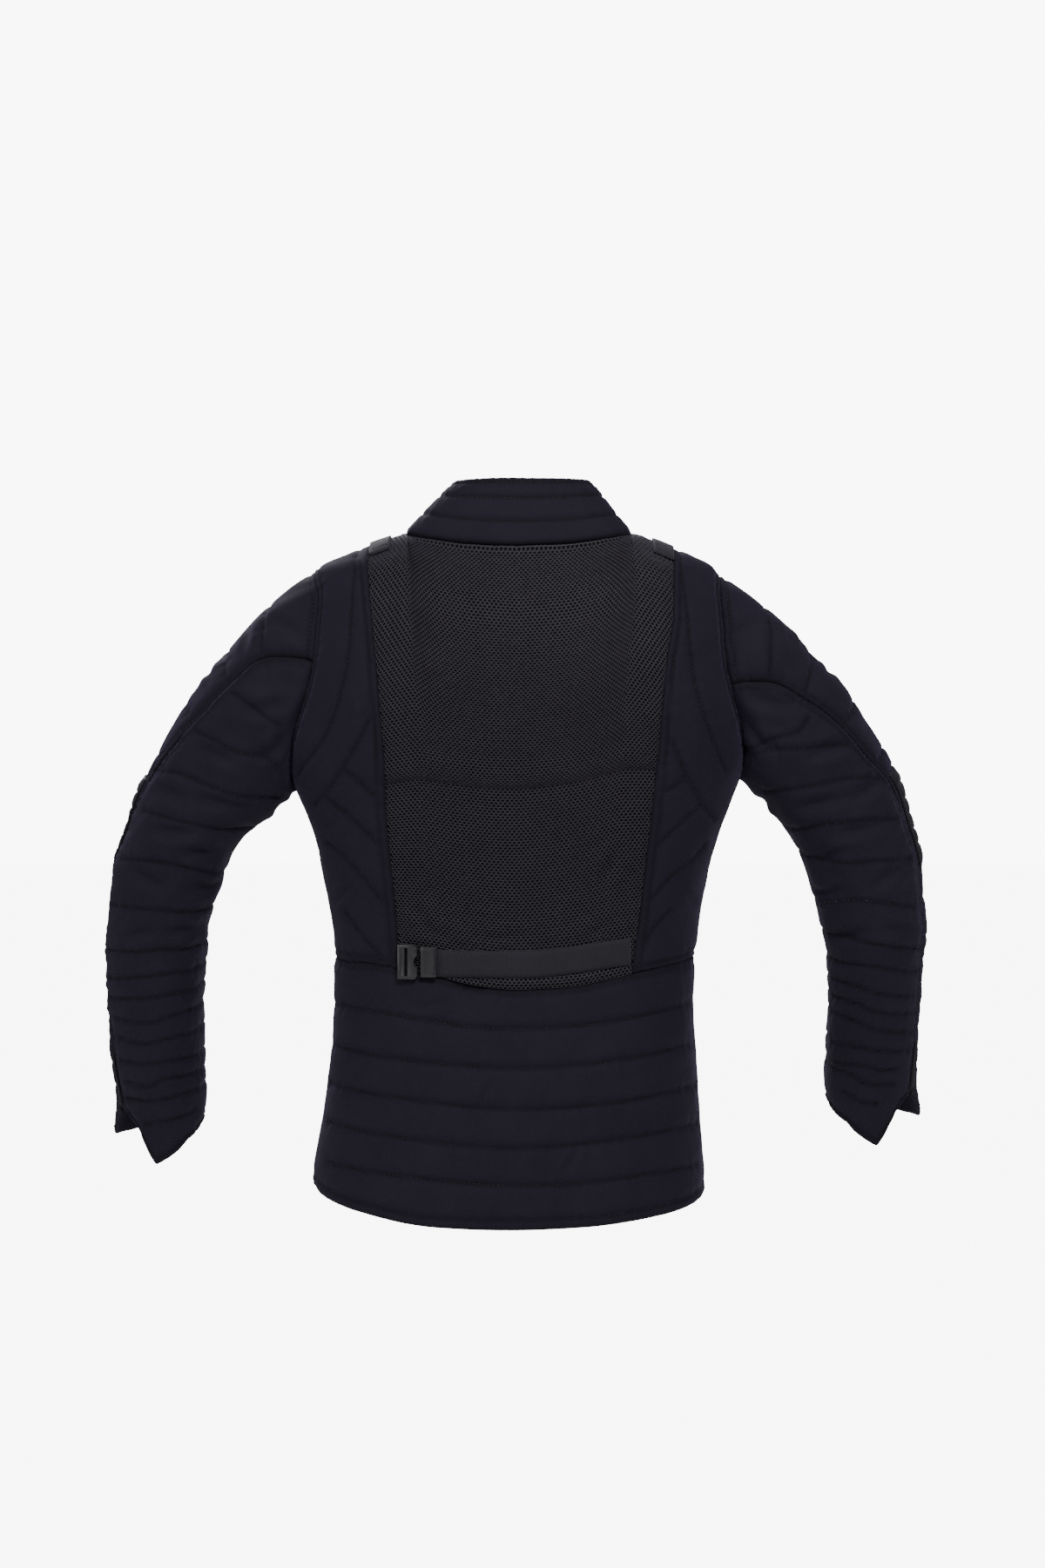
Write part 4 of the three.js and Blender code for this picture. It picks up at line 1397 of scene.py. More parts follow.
def fill_weave(graph: NodeGraph, start: bpy.types.Node, end: bpy.types.Node) -> None:
    """Twill weave that follows a piece's own map: slanted ribs crossed by finer yarns.

    Args:
        graph: The group's tree.
        start: Its input node.
        end: Its output node.
    """
    place = graph.add("UVMap", {"uv_map": "cloth"}).outputs["UV"]
    turned = graph.add("Mapping", Vector=place)
    turned.inputs["Rotation"].default_value = (0, 0, math.radians(32))
    ribs = graph.add("TexWave", Vector=turned.outputs[0], Scale=start.outputs["Scale"], Distortion=0.4)
    yarns = graph.add("TexWave", {"bands_direction": "Y"}, Vector=place, Scale=start.outputs["Scale"])
    height = graph.maths("ADD", graph.maths("MULTIPLY", ribs.outputs["Fac"], 0.65),
                         graph.maths("MULTIPLY", yarns.outputs["Fac"], 0.35))
    graph.tree.links.new(height, end.inputs["Height"])


def fill_seam_shade(graph: NodeGraph, start: bpy.types.Node, end: bpy.types.Node) -> None:
    """Painted shade: darkens a colour where the cloth is drawn down at its stitch lines, standing in for the
    shade in those grooves.

    Args:
        graph: The group's tree.
        start: Its input node.
        end: Its output node.
    """
    seam = graph.add("Attribute", {"attribute_name": "seam"}).outputs["Fac"]
    share = graph.maths("MULTIPLY", seam, start.outputs["Depth"])
    mix = graph.add("Mix", {"data_type": "RGBA"}, Factor=share)
    graph.tree.links.new(start.outputs["Colour"], mix.inputs[6])
    # Near-black colour of the painted shade in the stitch grooves.
    mix.inputs[7].default_value = (0.002, 0.002, 0.003, 1)
    graph.tree.links.new(mix.outputs[2], end.inputs["Colour"])


class Effects:
    """The shader groups that several finishes share, built once."""

    def __init__(self) -> None:
        """Builds the groups."""
        colour = ("Color", (0.02, 0.02, 0.02, 1))
        self.mottle = shader_group("uneven_dye", {"Colour": colour, "Spread": ("Float", 0.5)},
                                   {"Colour": "Color"}, fill_mottle)
        self.weave = shader_group("twill_weave", {"Scale": ("Float", 300.0)}, {"Height": "Float"},
                                  fill_weave)
        # Painted shade along stitch lines.
        self.seam_shade = shader_group("seam_shade", {"Colour": colour, "Depth": ("Float", 0.5)},
                                       {"Colour": "Color"}, fill_seam_shade)


EFFECTS = Effects()


@dataclass(frozen=True)
class Finish:
    """A finish and how it is made: cloth, webbing, moulded plastic or metal."""

    name: str
    colour: Colour
    roughness: float = 0.85
    metallic: float = 0.0
    sheen: float = 0.0
    sheen_tint: Colour = (0.6, 0.6, 0.7)
    specular: float = 0.3
    spread: float = 0.5
    weave: float = 0.0
    weave_depth: float = 0.0001
    # Strength of the painted shade along stitch lines.
    seam_shade_strength: float = 0.0
    rib: float = 0.0
    rib_depth: float = 0.0003
    grain: float = 0.0

    def material(self) -> Material:
        """Builds the finish as a node material.

        Returns:
            The material.
        """
        made = bpy.data.materials.new(self.name)
        made.use_nodes = True
        graph = NodeGraph(made.node_tree)
        shader = made.node_tree.nodes["Principled BSDF"]
        shader.inputs["Metallic"].default_value = self.metallic
        shader.inputs["Specular IOR Level"].default_value = self.specular
        shader.inputs["Sheen Weight"].default_value = self.sheen
        shader.inputs["Sheen Roughness"].default_value = 0.45
        shader.inputs["Sheen Tint"].default_value = (*self.sheen_tint, 1)
        colour = self.group(graph, EFFECTS.mottle, Colour=(*self.colour, 1), Spread=self.spread).outputs[0]
        # Painted shade darkens the colour along stitch lines.
        if self.seam_shade_strength:
            colour = self.group(graph, EFFECTS.seam_shade, Colour=colour, Depth=self.seam_shade_strength).outputs[0]
        made.node_tree.links.new(colour, shader.inputs["Base Color"])
        place = graph.add("TexCoord").outputs["Object"]
        worn = graph.add("TexNoise", Vector=place, Scale=45.0, Detail=4.0).outputs["Fac"]
        rough = graph.add("MapRange", Value=worn, To_Min=self.roughness - 0.08,
                          To_Max=self.roughness + 0.08)
        made.node_tree.links.new(rough.outputs[0], shader.inputs["Roughness"])
        heights = []
        if self.weave:
            weave = self.group(graph, EFFECTS.weave, Scale=self.weave)
            heights.append((weave.outputs["Height"], self.weave_depth))
        if self.rib:
            uv = graph.add("UVMap", {"uv_map": "cloth"}).outputs["UV"]
            rib = graph.add("TexWave", Vector=uv, Scale=self.rib, Distortion=0.3)
            heights.append((rib.outputs["Fac"], self.rib_depth))
        if self.grain:
            grain = graph.add("TexNoise", Vector=place, Scale=self.grain, Detail=2.0)
            heights.append((grain.outputs["Fac"], 0.0002))
        normal = None
        for height, depth in heights:
            bump = graph.add("Bump", Height=height, Distance=depth, Strength=0.6)
            if normal is not None:
                made.node_tree.links.new(normal, bump.inputs["Normal"])
            normal = bump.outputs["Normal"]
        if normal is not None:
            made.node_tree.links.new(normal, shader.inputs["Normal"])
        return made

    def group(self, graph: NodeGraph, tree: bpy.types.NodeTree, **inputs: object) -> bpy.types.Node:
        """Places a shared group with its own values.

        Args:
            graph: The material's tree.
            tree: The group.
            **inputs: Values or outputs to join.

        Returns:
            The group's node.
        """
        node = graph.tree.nodes.new("ShaderNodeGroup")
        node.node_tree = tree
        for key, value in inputs.items():
            if isinstance(value, bpy.types.NodeSocket):
                graph.tree.links.new(value, node.inputs[key])
            else:
                node.inputs[key].default_value = value
        return node


@dataclass
class Wardrobe:
    """All the jacket's materials."""

    # The shell carries painted shade along its stitch lines.
    shell: Material = field(default_factory=lambda: Finish(
        "navy_shell", (0.0165, 0.0125, 0.0250), 0.78, sheen=0.12, sheen_tint=(0.62, 0.52, 0.9),
        specular=0.22, spread=0.7, weave=330, weave_depth=0.00022,
        seam_shade_strength=0.8, grain=420).material())
    mesh: Material = field(default_factory=lambda: Finish(
        "spacer_net", (0.042, 0.038, 0.050), 0.52, sheen=0.25, sheen_tint=(0.62, 0.56, 0.8),
        spread=0.6, grain=900).material())
    # Ground layer of the net: a real layer, but its near-black colour, darker than the cloth, is painted
    # shade inside the holes.
    ground: Material = field(default_factory=lambda: Finish(
        "net_ground_hole_shade", (0.0022, 0.0022, 0.0028), 0.95, spread=0.3).material())
    # The elbow cloth carries painted shade along its stitch lines.
    patch: Material = field(default_factory=lambda: Finish(
        "elbow_cloth", (0.026, 0.024, 0.033), 0.5, sheen=0.15, spread=0.5, weave=420, weave_depth=0.00015,
        seam_shade_strength=0.5).material())
    webbing: Material = field(default_factory=lambda: Finish(
        "woven_webbing", (0.024, 0.021, 0.030), 0.7, sheen=0.25, spread=0.6, rib=190, weave=260,
        weave_depth=0.0002).material())
    tape: Material = field(default_factory=lambda: Finish(
        "binding_tape", (0.013, 0.012, 0.017), 0.7, sheen=0.1, spread=0.4, rib=260,
        rib_depth=0.0002).material())
    thread: Material = field(default_factory=lambda: Finish(
        "tonal_thread", (0.030, 0.027, 0.037), 0.55, spread=0.5, grain=1500).material())
    pale_thread: Material = field(default_factory=lambda: Finish(
        "pale_thread", (0.075, 0.070, 0.085), 0.5, spread=0.5, grain=1500).material())
    plastic: Material = field(default_factory=lambda: Finish(
        "moulded_plastic", (0.030, 0.029, 0.034), 0.32, specular=0.6, spread=0.25, grain=800).material())
    metal: Material = field(default_factory=lambda: Finish(
        "zip_metal", (0.30, 0.30, 0.32), 0.34, metallic=0.9, specular=0.5, spread=0.3,
        grain=1200).material())


# --- Quilted panels ---
@dataclass
class Cut:
    """The flat size that a piece of cloth is cut to, in metres and square metres."""

    width: float
    length: float
    area: float


@dataclass
class Quilt:
    """A quilted panel: its grid, seams, quilting lines and cut."""

    name: str
    grid: Grid
    lines: Sequence[Line]
    cut: Cut
    seed: int
    replaces: str
    thickness: float = QUILTED_WALL
    slot: str = "quilted_shell"
    creases: Sequence[Crease] = ()
    pressed: Optional[Array] = None
    press_to: float = 9.0
    wave: float = 0.9
    puff: float = 1.5
    reach: float = 8.0

    def build(self, cloth: Wardrobe) -> list[Piece]:
        """Args:
            cloth: The materials.

        Returns:
            The pieces.
        """
        relief = Relief([*self.grid.borders(), *self.lines], self.seed, puff=self.puff,
                        reach=self.reach, wave=self.wave, creases=self.creases,
                        pressed=self.pressed, press_to=self.press_to)
        height, mask = relief.height(self.grid.points)
        panel = wall_piece(self.name, self.grid, height, self.thickness, cloth.shell, self.slot, mask)
        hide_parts(self.replaces)
        made = [panel]
        for thread, material in ((Thread.TONAL, cloth.thread), (Thread.PALE, cloth.pale_thread)):
            lines = [line for line in self.lines if line.thread is thread]
            name = f"{self.name}_{thread.value}_stitches"
            made.append(Stitches().build(name, lines, relief, material, self.slot))
        return [piece for piece in made if piece]


def strap_height(x: Array) -> Array:
    """Height of the waist strap's centre line at a distance across.

    Args:
        x: Distance across.

    Returns:
        The height.
    """
    return Curve([-107.5, -5, 106], [-395, -406.5, -405])(x)


def back_band(start: float, end: float, count: int, width: float, rows: int = 6) -> Grid:
    """Band that follows the back between two x positions along the strap's line.

    Args:
        start: x of the first column.
        end: x of the last column.
        count: Number of steps along it.
        width: Its width.
        rows: Number of steps across it.

    Returns:
        The grid.
    """
    x, across = np.meshgrid(np.linspace(start, end, count + 1), np.linspace(0.5, -0.5, rows + 1))
    z = strap_height(x) + across * width
    turn = BODY_FORM.turn_at(x, z)
    return Grid(BODY_FORM.point(turn, z), BODY_FORM.normal(turn, z))


def tab_grid(x: float, width: float, start: float, end: float, rows: int = 48) -> Grid:
    """Band over the top of a shoulder.

    Args:
        x: Its centre line.
        width: Its width.
        start: y of its rear end.
        end: y of its front end.
        rows: Number of steps along it.

    Returns:
        The grid.
    """
    across, y = np.meshgrid(x + np.linspace(-0.5, 0.5, 9) * width, np.linspace(start, end, rows + 1))
    place = lambda u, v: stack(u, v, BODY_FORM.height_over(u, v))
    normal = outward_normals(place, across, y, 1, 1, stack(across * 0.8, 0 * y, 0 * y - 90))
    return Grid(place(across, y), normal)


STRAP_ZONE = back_band(109, -110, 60, 30).points.reshape(-1, 3)
TAB_X = {Side.LEFT: 126.5, Side.RIGHT: -140}
TAB_ZONES = {side: tab_grid(x, 22, 50, -43).points.reshape(-1, 3) for side, x in TAB_X.items()}
PRESSED = np.concatenate([STRAP_ZONE, *TAB_ZONES.values()])

# Stitch lines of the back's side panels, as x and z of places along each.
SIDE_LINES = {
    Side.LEFT: (
        ((149, -23), (152, -78), (155, -127), (165, -169), (181, -203), (202, -229)),
        ((134, -180), (144, -198), (157, -221), (173, -245), (186, -258)),
        ((157, -226), (147, -234), (129, -250)),
        ((174, -253), (152, -271), (125, -296)),
        ((174, -294), (151, -315), (132, -336), (118, -353)),
        ((158, -360), (139, -384), (123, -400)),
    ),
    Side.RIGHT: (
        ((-156, -36), (-160, -69), (-164, -120), (-171, -160), (-181, -191), (-197, -226)),
        ((-145, -197), (-156, -224), (-171, -251), (-186, -272)),
        ((-140, -245), (-151, -239), (-159, -231)),
        ((-132, -297), (-149, -280), (-173, -259)),
        ((-127, -347), (-144, -327), (-166, -309), (-178, -296)),
        ((-118, -396), (-128, -375), (-144, -357)),
    ),
}
# Quilting of the lower back: the height of each line at each x of LOWER_X.
LOWER_X = (-170, -106, -48, -3, 41, 110, 173)
LOWER_LINES = (
    (-444, -457, -464, -465, -464, -454, -447),
    (-484, -494, -500, -502, -500, -494, -486),
    (-523, -533, -538, -539, -537, -530, -522),
    (-559, -567, -573, -575, -573, -566, -557),
    (-597, -603, -608, -609, -607, -601, -594),
)


@dataclass
class BackPanels:
    """The quilted side panels and lower panel of the back."""

    edge_stitch: float = 7.0
    armhole_stitch: float = 6.0
    waist_stitch: float = 6.5
    under_stitch: float = 4.0
    hem_stitch: float = 9.0

    def side(self, half: Half, cloth: Wardrobe) -> list[Piece]:
        """One side panel between the mesh and the armhole.

        Args:
            half: Seams of its half.
            cloth: The materials.

        Returns:
            The pieces.
        """
        top = between(half.mesh_top, half.armhole_top, STEPS.side_panel)
        bottom = along_seam(half.mesh_bottom[0], half.waist_side[0], STEPS.side_panel, BODY_FORM.waist)
        grid = torso_grid(top, bottom, half.mesh_edge, half.outer_back())
        lines = [torso_line(places) for places in SIDE_LINES[half.side]]
        lines += [grid.inset("first", self.edge_stitch), grid.inset("last", self.armhole_stitch),
                  grid.inset("bottom", self.waist_stitch), grid.inset("top", 5, Thread.NONE)]
        folds = (((0.80, -262), (0.93, -283)), ((0.76, -330), (0.9, -352)), ((0.72, -150), (0.76, -196)))
        hand = half.hand
        creases = [Crease(torso_line([(hand * 190 * across, z) for across, z in fold], Thread.NONE), 1.3, 5)
                   for fold in folds]
        label = half.side.label
        return Quilt(f"back_side_panel_{label}", grid, lines, Cut(0.13, 0.47, 0.045), 11 + half.hand,
                     f"back_side_{label}", creases=creases, pressed=PRESSED).build(cloth)

    def lower(self, cloth: Wardrobe) -> list[Piece]:
        """The panel from the waist seam to the hem.

        Args:
            cloth: The materials.

        Returns:
            The pieces.
        """
        left, right = HALVES[Side.LEFT], HALVES[Side.RIGHT]
        wide = STEPS.neck_back + 2 * STEPS.shoulder_by_mesh
        under = [along_seam(half.waist_side[0], half.mesh_bottom[0], STEPS.side_panel, BODY_FORM.waist)
                 for half in (left, right)]
        middle = along_seam(left.mesh_bottom[0], right.mesh_bottom[0], wide, BODY_FORM.waist)
        top = joined(under[0], middle, under[1][::-1])
        bottom = np.stack([top[:, 0], BODY_FORM.hem(top[:, 0])], -1)
        edges = [between(half.waist_side, half.hem_side, STEPS.skirt) for half in (left, right)]
        grid = torso_grid(top, bottom, *edges)
        lines = [torso_line(list(zip(LOWER_X, heights))) for heights in LOWER_LINES]
        lines += [grid.inset("top", self.under_stitch), grid.inset("bottom", self.hem_stitch)]
        folds = (((-65, -534), (-68, -543), (-71, -553)), ((-61, -569), (-53, -586), (-44, -601)),
                 ((60, -440), (84, -447), (100, -444)), ((120, -560), (128, -578), (131, -592)),
                 ((-120, -505), (-126, -518), (-138, -528)), ((20, -515), (27, -527), (30, -536)))
        creases = [Crease(torso_line(fold, Thread.NONE), 1.2, 5) for fold in folds]
        return Quilt("back_lower_panel", grid, lines, Cut(0.46, 0.26, 0.113), 21, "back_lower",
                     creases=creases, reach=10, puff=1.7).build(cloth)


@dataclass
class Fronts:
    """The two quilted fronts, each from the shoulder to the hem."""

    edge_stitch: float = 8.0
    hem_stitch: float = 9.0
    armhole_stitch: float = 6.0
    first_line: float = -92.0
    line_spacing: float = 39.0
    line_fall: float = 16.0

    def build(self, half: Half, cloth: Wardrobe) -> list[Piece]:
        """One front.

        Args:
            half: Seams of its half.
            cloth: The materials.

        Returns:
            The pieces.
        """
        side = half.outer_front()
        edge = half.front_edge(len(side) - 1)
        neck = along_seam(half.neck[0], edge[0, 0], STEPS.neck_front, BODY_FORM.neck)
        top = joined(half.shoulder()[::-1], neck)
        edge[0] = top[-1]
        bottom = along_seam(half.hem_side[0], edge[-1, 0], len(top) - 1, BODY_FORM.hem)
        edge[-1] = bottom[-1]
        grid = torso_grid(top, bottom, side, edge)
        lines = [grid.inset("last", self.edge_stitch), grid.inset("bottom", self.hem_stitch),
                 grid.inset("first", self.armhole_stitch)]
        for k in range(14):
            z = self.first_line - k * self.line_spacing
            outer = 0.93 * float(BODY_FORM.half(z)) if z < -250 else 150 + 0.12 * (z + 250)
            places = [(half.hand * x, z + self.line_fall * (x / 160) ** 2)
                      for x in (17, outer * 0.45, outer * 0.8, outer)]
            lines.append(torso_line(places, front=True))
        folds = (((150, -300), (120, -322)), ((140, -380), (104, -396)), ((100, -430), (66, -446)),
                 ((150, -470), (118, -492)), ((60, -240), (95, -262)), ((110, -560), (92, -590)))
        folds = [[(half.hand * x, z) for x, z in fold] for fold in folds]
        creases = [Crease(torso_line(fold, Thread.NONE, front=True), 1.4, 6) for fold in folds]
        label = half.side.label
        return Quilt(f"front_panel_{label}", grid, lines, Cut(0.32, 0.68, 0.137), 31 + half.hand,
                     f"front_{label}", creases=creases, pressed=TAB_ZONES[half.side], reach=10,
                     puff=1.7).build(cloth)


@dataclass
class Collar:
    """The quilted stand collar."""

    rows: int = 30
    start: float = 0.03
    columns_front: int = 44
    columns_back: int = 84

    def build(self, cloth: Wardrobe) -> list[Piece]:
        """Makes the collar.

        Args:
            cloth: The materials.

        Returns:
            The pieces.
        """
        left, right = HALVES[Side.LEFT], HALVES[Side.RIGHT]
        turns, rises = [], []
        for k in range(self.rows + 1):
            rise = self.start + (1 - self.start) * k / self.rows
            ends = [COLLAR_FORM.end(half.side, rise) for half in (left, right)]
            front = [np.linspace(end, half.neck[0], self.columns_front + 1)
                     for end, half in zip(ends, (left, right))]
            back = np.linspace(left.neck[0], right.neck[0], self.columns_back + 1)
            turns.append(np.concatenate([front[0], back[1:], front[1][::-1][1:]]))
            rises.append(np.full(len(turns[-1]), rise))
        turn, rise = np.array(turns), np.array(rises)
        normal = COLLAR_FORM.normal(turn, rise)
        normal[0] = BODY_FORM.normal(turn[0], BODY_FORM.neck(turn[0]))
        grid = Grid(COLLAR_FORM.point(turn, rise), normal)
        across = np.linspace(-150, 150, 60)
        around = lambda height: Line(COLLAR_FORM.point(across, height),
                                     COLLAR_FORM.normal(across, height)).spaced()
        lines = [around(np.full(60, 0.70)), around(np.full(60, 0.36)), grid.inset("bottom", 5)]
        return Quilt("collar_panel", grid, lines, Cut(0.50, 0.09, 0.031), 41, "collar",
                     thickness=COLLAR_WALL, puff=0.8, reach=6, wave=0.5).build(cloth)


# --- Sleeves ---
# Quilting of the under-sleeves, as ring and degrees round of a few places along each line.
UNDER_LINES = {
    Side.LEFT: (
        ((2.06, 62), (1.55, 87), (0.76, 110)),
        ((3.23, 55), (2.98, 75), (2.53, 102), (1.18, 132)),
        ((4.45, 40), (4.16, 66), (3.92, 94), (3.46, 124), (2.46, 158)),
        ((5.36, 44), (5.12, 88), (4.96, 123), (4.64, 146), (4.2, 180)),
        ((6.72, 36), (6.36, 90), (6.38, 159), (6.5, 230)),
        ((7.65, 28), (7.51, 87), (7.52, 119), (7.53, 163), (7.5, 230)),
        ((8.80, 26), (8.57, 91), (8.58, 144), (8.7, 230)),
        ((9.50, 32), (9.28, 86), (9.18, 133), (9.2, 230)),
        ((9.92, 32), (9.78, 86), (9.65, 134), (9.7, 230)),
        ((10.30, 40), (10.29, 88), (10.07, 138), (10.1, 230)),
        ((10.68, 42), (10.70, 83), (10.56, 130), (10.6, 230)),
        ((11.07, 44), (11.07, 82), (11.03, 125), (11.1, 230)),
        ((11.46, 52), (11.50, 83), (11.36, 109), (11.4, 200)),
        ((11.79, 47), (11.77, 85), (11.66, 145), (11.7, 230)),
        ((12.20, 73), (12.14, 101), (12.05, 139)),
    ),
    Side.RIGHT: (
        ((2.43, 76), (2.17, 98), (0.14, 150)),
        ((3.56, 60), (2.50, 103), (0.17, 150)),
        ((4.62, 50), (4.05, 81), (3.46, 117), (2.59, 153)),
        ((5.73, 50), (4.87, 114), (4.25, 164)),
        ((6.79, 42), (6.16, 113), (5.60, 156), (5.3, 200)),
        ((7.82, 38), (7.36, 92), (7.14, 127), (7.1, 230)),
        ((9.00, 36), (8.43, 96), (8.09, 143), (8.2, 230)),
        ((9.52, 38), (9.17, 96), (9.10, 139), (9.1, 230)),
        ((10.01, 44), (9.79, 95), (9.59, 134), (9.6, 230)),
        ((10.37, 46), (10.20, 94), (9.98, 134), (10.0, 230)),
        ((10.77, 43), (10.59, 93), (10.36, 137), (10.4, 230)),
        ((11.13, 46), (11.03, 91), (10.96, 127), (11.0, 230)),
        ((11.45, 63), (11.46, 86), (11.36, 111), (11.4, 200)),
        ((11.77, 66), (11.75, 103), (11.53, 135), (11.5, 230)),
        ((12.15, 88), (12.11, 109), (11.94, 134)),
    ),
}
PALE_LINES = {Side.LEFT: (4,), Side.RIGHT: (3, 5)}
# Quilting of the upper sleeves, by ring, from the back seam round to the front one.
UPPER_LINES = (1.0, 2.0, 3.1, 4.2, 7.7, 8.7, 9.4, 9.9, 10.35, 10.8, 11.2, 11.6)


@dataclass
class Sleeve:
    """One sleeve: upper and under panels, elbow patch and cuff strip."""

    half: Half
    length_rows: int = 236
    cuff_rows: int = 12
    upper_columns: int = 56
    under_columns: int = 84
    seam_stitch: float = 5.0
    cuff_stitch: float = 5.5
    elbow_from: float = 4.75
    elbow_to: float = 7.15
    elbow_margin: float = 5.0
    patch_thickness: float = 1.4
    patch_lift: float = 0.7

    def grid(self, columns: int, upper: bool) -> Grid:
        """Fine grid of one panel.

        Args:
            columns: Number of steps across it.
            upper: True for the upper panel, False for the under one.

        Returns:
            The grid.
        """
        form = self.half.sleeve
        share = np.linspace(0, 1, columns + 1)[None, :]
        down = np.concatenate([np.linspace(0, 1, self.length_rows + 1) ** 1.06 * CUFF_RING,
                               CUFF_RING + np.linspace(0, 1, self.cuff_rows + 1)[1:]])[:, None]
        front, back = form.front_seam(down), form.back_seam(down)
        start, end = (front, back) if upper else (back, 360 + front)
        around = start + (end - start) * share
        past = np.clip(down - CUFF_RING, 0, 1)
        finish = np.maximum(CUFF_RING + VENT_HEM, form.cuff_end(around)) - CUFF_RING
        ring = np.minimum(down, CUFF_RING) + past * finish
        return Grid(*form.at(ring, around, flare=upper))

    def elbow_grid(self, rows: int = 44, columns: int = 30) -> Grid:
        """Grid of the patch over the elbow.

        Args:
            rows: Number of steps along it.
            columns: Number of steps round it.

        Returns:
            The grid.
        """
        form = self.half.sleeve
        ring = np.linspace(self.elbow_from, self.elbow_to, rows + 1)[:, None]
        start, end = form.front_seam(ring) + self.elbow_margin, form.back_seam(ring) - self.elbow_margin
        around = start + (end - start) * np.linspace(0, 1, columns + 1)[None, :]
        return Grid(*form.at(ring + 0 * around, around))

    def build(self, cloth: Wardrobe) -> list[Piece]:
        """Makes the sleeve.

        Args:
            cloth: The materials.

        Returns:
            The pieces.
        """
        form, side, label = self.half.sleeve, self.half.side, self.half.side.label
        elbow = self.elbow_grid()
        strip = self.strip_grid()
        pressed = np.concatenate([elbow.points[::2, ::2].reshape(-1, 3), strip.points.reshape(-1, 3)])
        under_grid, upper_grid = self.grid(self.under_columns, False), self.grid(self.upper_columns, True)
        lines = [sleeve_line(form, places, Thread.PALE if k in PALE_LINES[side] else Thread.TONAL)
                 for k, places in enumerate(UNDER_LINES[side])]
        lines += [under_grid.inset("bottom", self.cuff_stitch), under_grid.inset("first", self.seam_stitch)]
        folds = (((0.5, 100), (1.3, 92), (2.0, 80)), ((0.45, 120), (1.2, 122), (2.1, 112)),
                 ((3.0, 96), (3.5, 64)), ((5.3, 112), (5.7, 60)), ((5.7, 140), (5.9, 104)),
                 ((6.8, 50), (7.0, 96)), ((3.7, 140), (4.5, 88)), ((8.0, 100), (8.05, 146)),
                 ((1.2, 215), (2.2, 205)), ((4.6, 200), (5.0, 240)), ((4.6, 84), (4.7, 50)),
                 ((6.0, 210), (6.1, 250)), ((8.2, 56), (8.0, 90)), ((2.9, 170), (3.3, 215)),
                 ((6.9, 120), (6.8, 170)))
        creases = [Crease(sleeve_line(form, fold, Thread.NONE), 3.0, 7.5) for fold in folds]
        made = Quilt(f"under_sleeve_panel_{label}", under_grid, lines, Cut(0.30, 0.56, 0.105), 51 + form.hand,
                     f"sleeve_under_{label}", creases=creases, pressed=strip.points.reshape(-1, 3),
                     press_to=6, puff=1.4, reach=7, wave=1.9).build(cloth)
        lines = [self.upper_line(ring) for ring in UPPER_LINES]
        lines += [upper_grid.inset("bottom", self.cuff_stitch), upper_grid.inset("last", self.seam_stitch),
                  upper_grid.inset("top", 6)]
        folds = (((0.86, 39), (0.5, 54), (0.2, 66)), ((1.4, 10), (1.5, 44)), ((2.5, -20), (2.4, 30)),
                 ((3.6, -50), (3.5, 0)), ((7.4, -30), (7.5, -60)), ((8.2, -50), (8.3, -10)))
        creases = [Crease(sleeve_line(form, fold, Thread.NONE), 1.6, 6) for fold in folds]
        made += Quilt(f"upper_sleeve_panel_{label}", upper_grid, lines, Cut(0.19, 0.60, 0.065),
                      61 + form.hand, f"sleeve_upper_{label}", creases=creases, pressed=pressed, press_to=6,
                      puff=1.4, wave=1.9).build(cloth)
        made += self.elbow(elbow, cloth)
        made.append(self.strip(strip, cloth))
        return made

    def upper_line(self, ring: float) -> Line:
        """Quilting line across the upper panel, from the back seam to the front seam.

        Args:
            ring: Ring at its middle.

        Returns:
            The line.
        """
        form = self.half.sleeve
        back, front = float(form.back_seam(ring)) - 4, float(form.front_seam(ring)) + 4
        places = [(ring + 0.10, back), (ring - 0.05, 0.4 * back + 0.6 * front), (ring + 0.06, front)]
        return sleeve_line(form, places)

    def elbow(self, grid: Grid, cloth: Wardrobe) -> list[Piece]:
        """The padded patch over the elbow, with its cross ribs.

        Args:
            grid: Its base surface.
            cloth: The materials.

        Returns:
            The pieces.
        """
        label = self.half.side.label
        rows = len(grid.points) - 1
        ribs = [Line(grid.points[k, 1:-1], grid.normals[k, 1:-1], Thread.NONE).spaced()
                for k in range(rows // 6, rows - 2, rows // 6)]
        edges = [grid.inset(edge, 3.0) for edge in ("top", "bottom", "first", "last")]
        borders = grid.borders()
        pad = dict(seed=71 + self.half.hand, puff=1.9, groove=0.5, reach=8, wave=0.3)
        relief = Relief([*borders, *ribs, *edges], **pad)
        height, mask = relief.height(grid.points)
        lift = self.patch_lift + self.patch_thickness
        patch = wall_piece(f"elbow_pad_{label}", grid, height + lift, -self.patch_lift, cloth.patch,
                           "elbow_patch", mask)
        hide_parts(f"elbow_patch_{label}")
        raised = [Line(line.points + line.normals * lift, line.normals, line.thread) for line in edges]
        lifted = Relief([Line(line.points + line.normals * lift, line.normals)
                         for line in [*borders, *ribs, *edges]], **pad)
        stitches = Stitches().build(f"elbow_pad_{label}_stitches", raised, lifted, cloth.pale_thread,
                                    "elbow_patch")
        return [patch, stitches]

    def strip_grid(self) -> Grid:
        """Grid of the smooth strip above the cuff's vent.

        Returns:
            The grid.
        """
        form = self.half.sleeve
        ring = np.linspace(11.05, 11.97, 29)[:, None]
        width = 1.6 + 3.6 * (ring - 11.05) / 0.92
        around = form.back_seam(ring) + width * np.linspace(-1, 1, 7)[None, :]
        return Grid(*form.at(ring + 0 * around, around, flare=False))

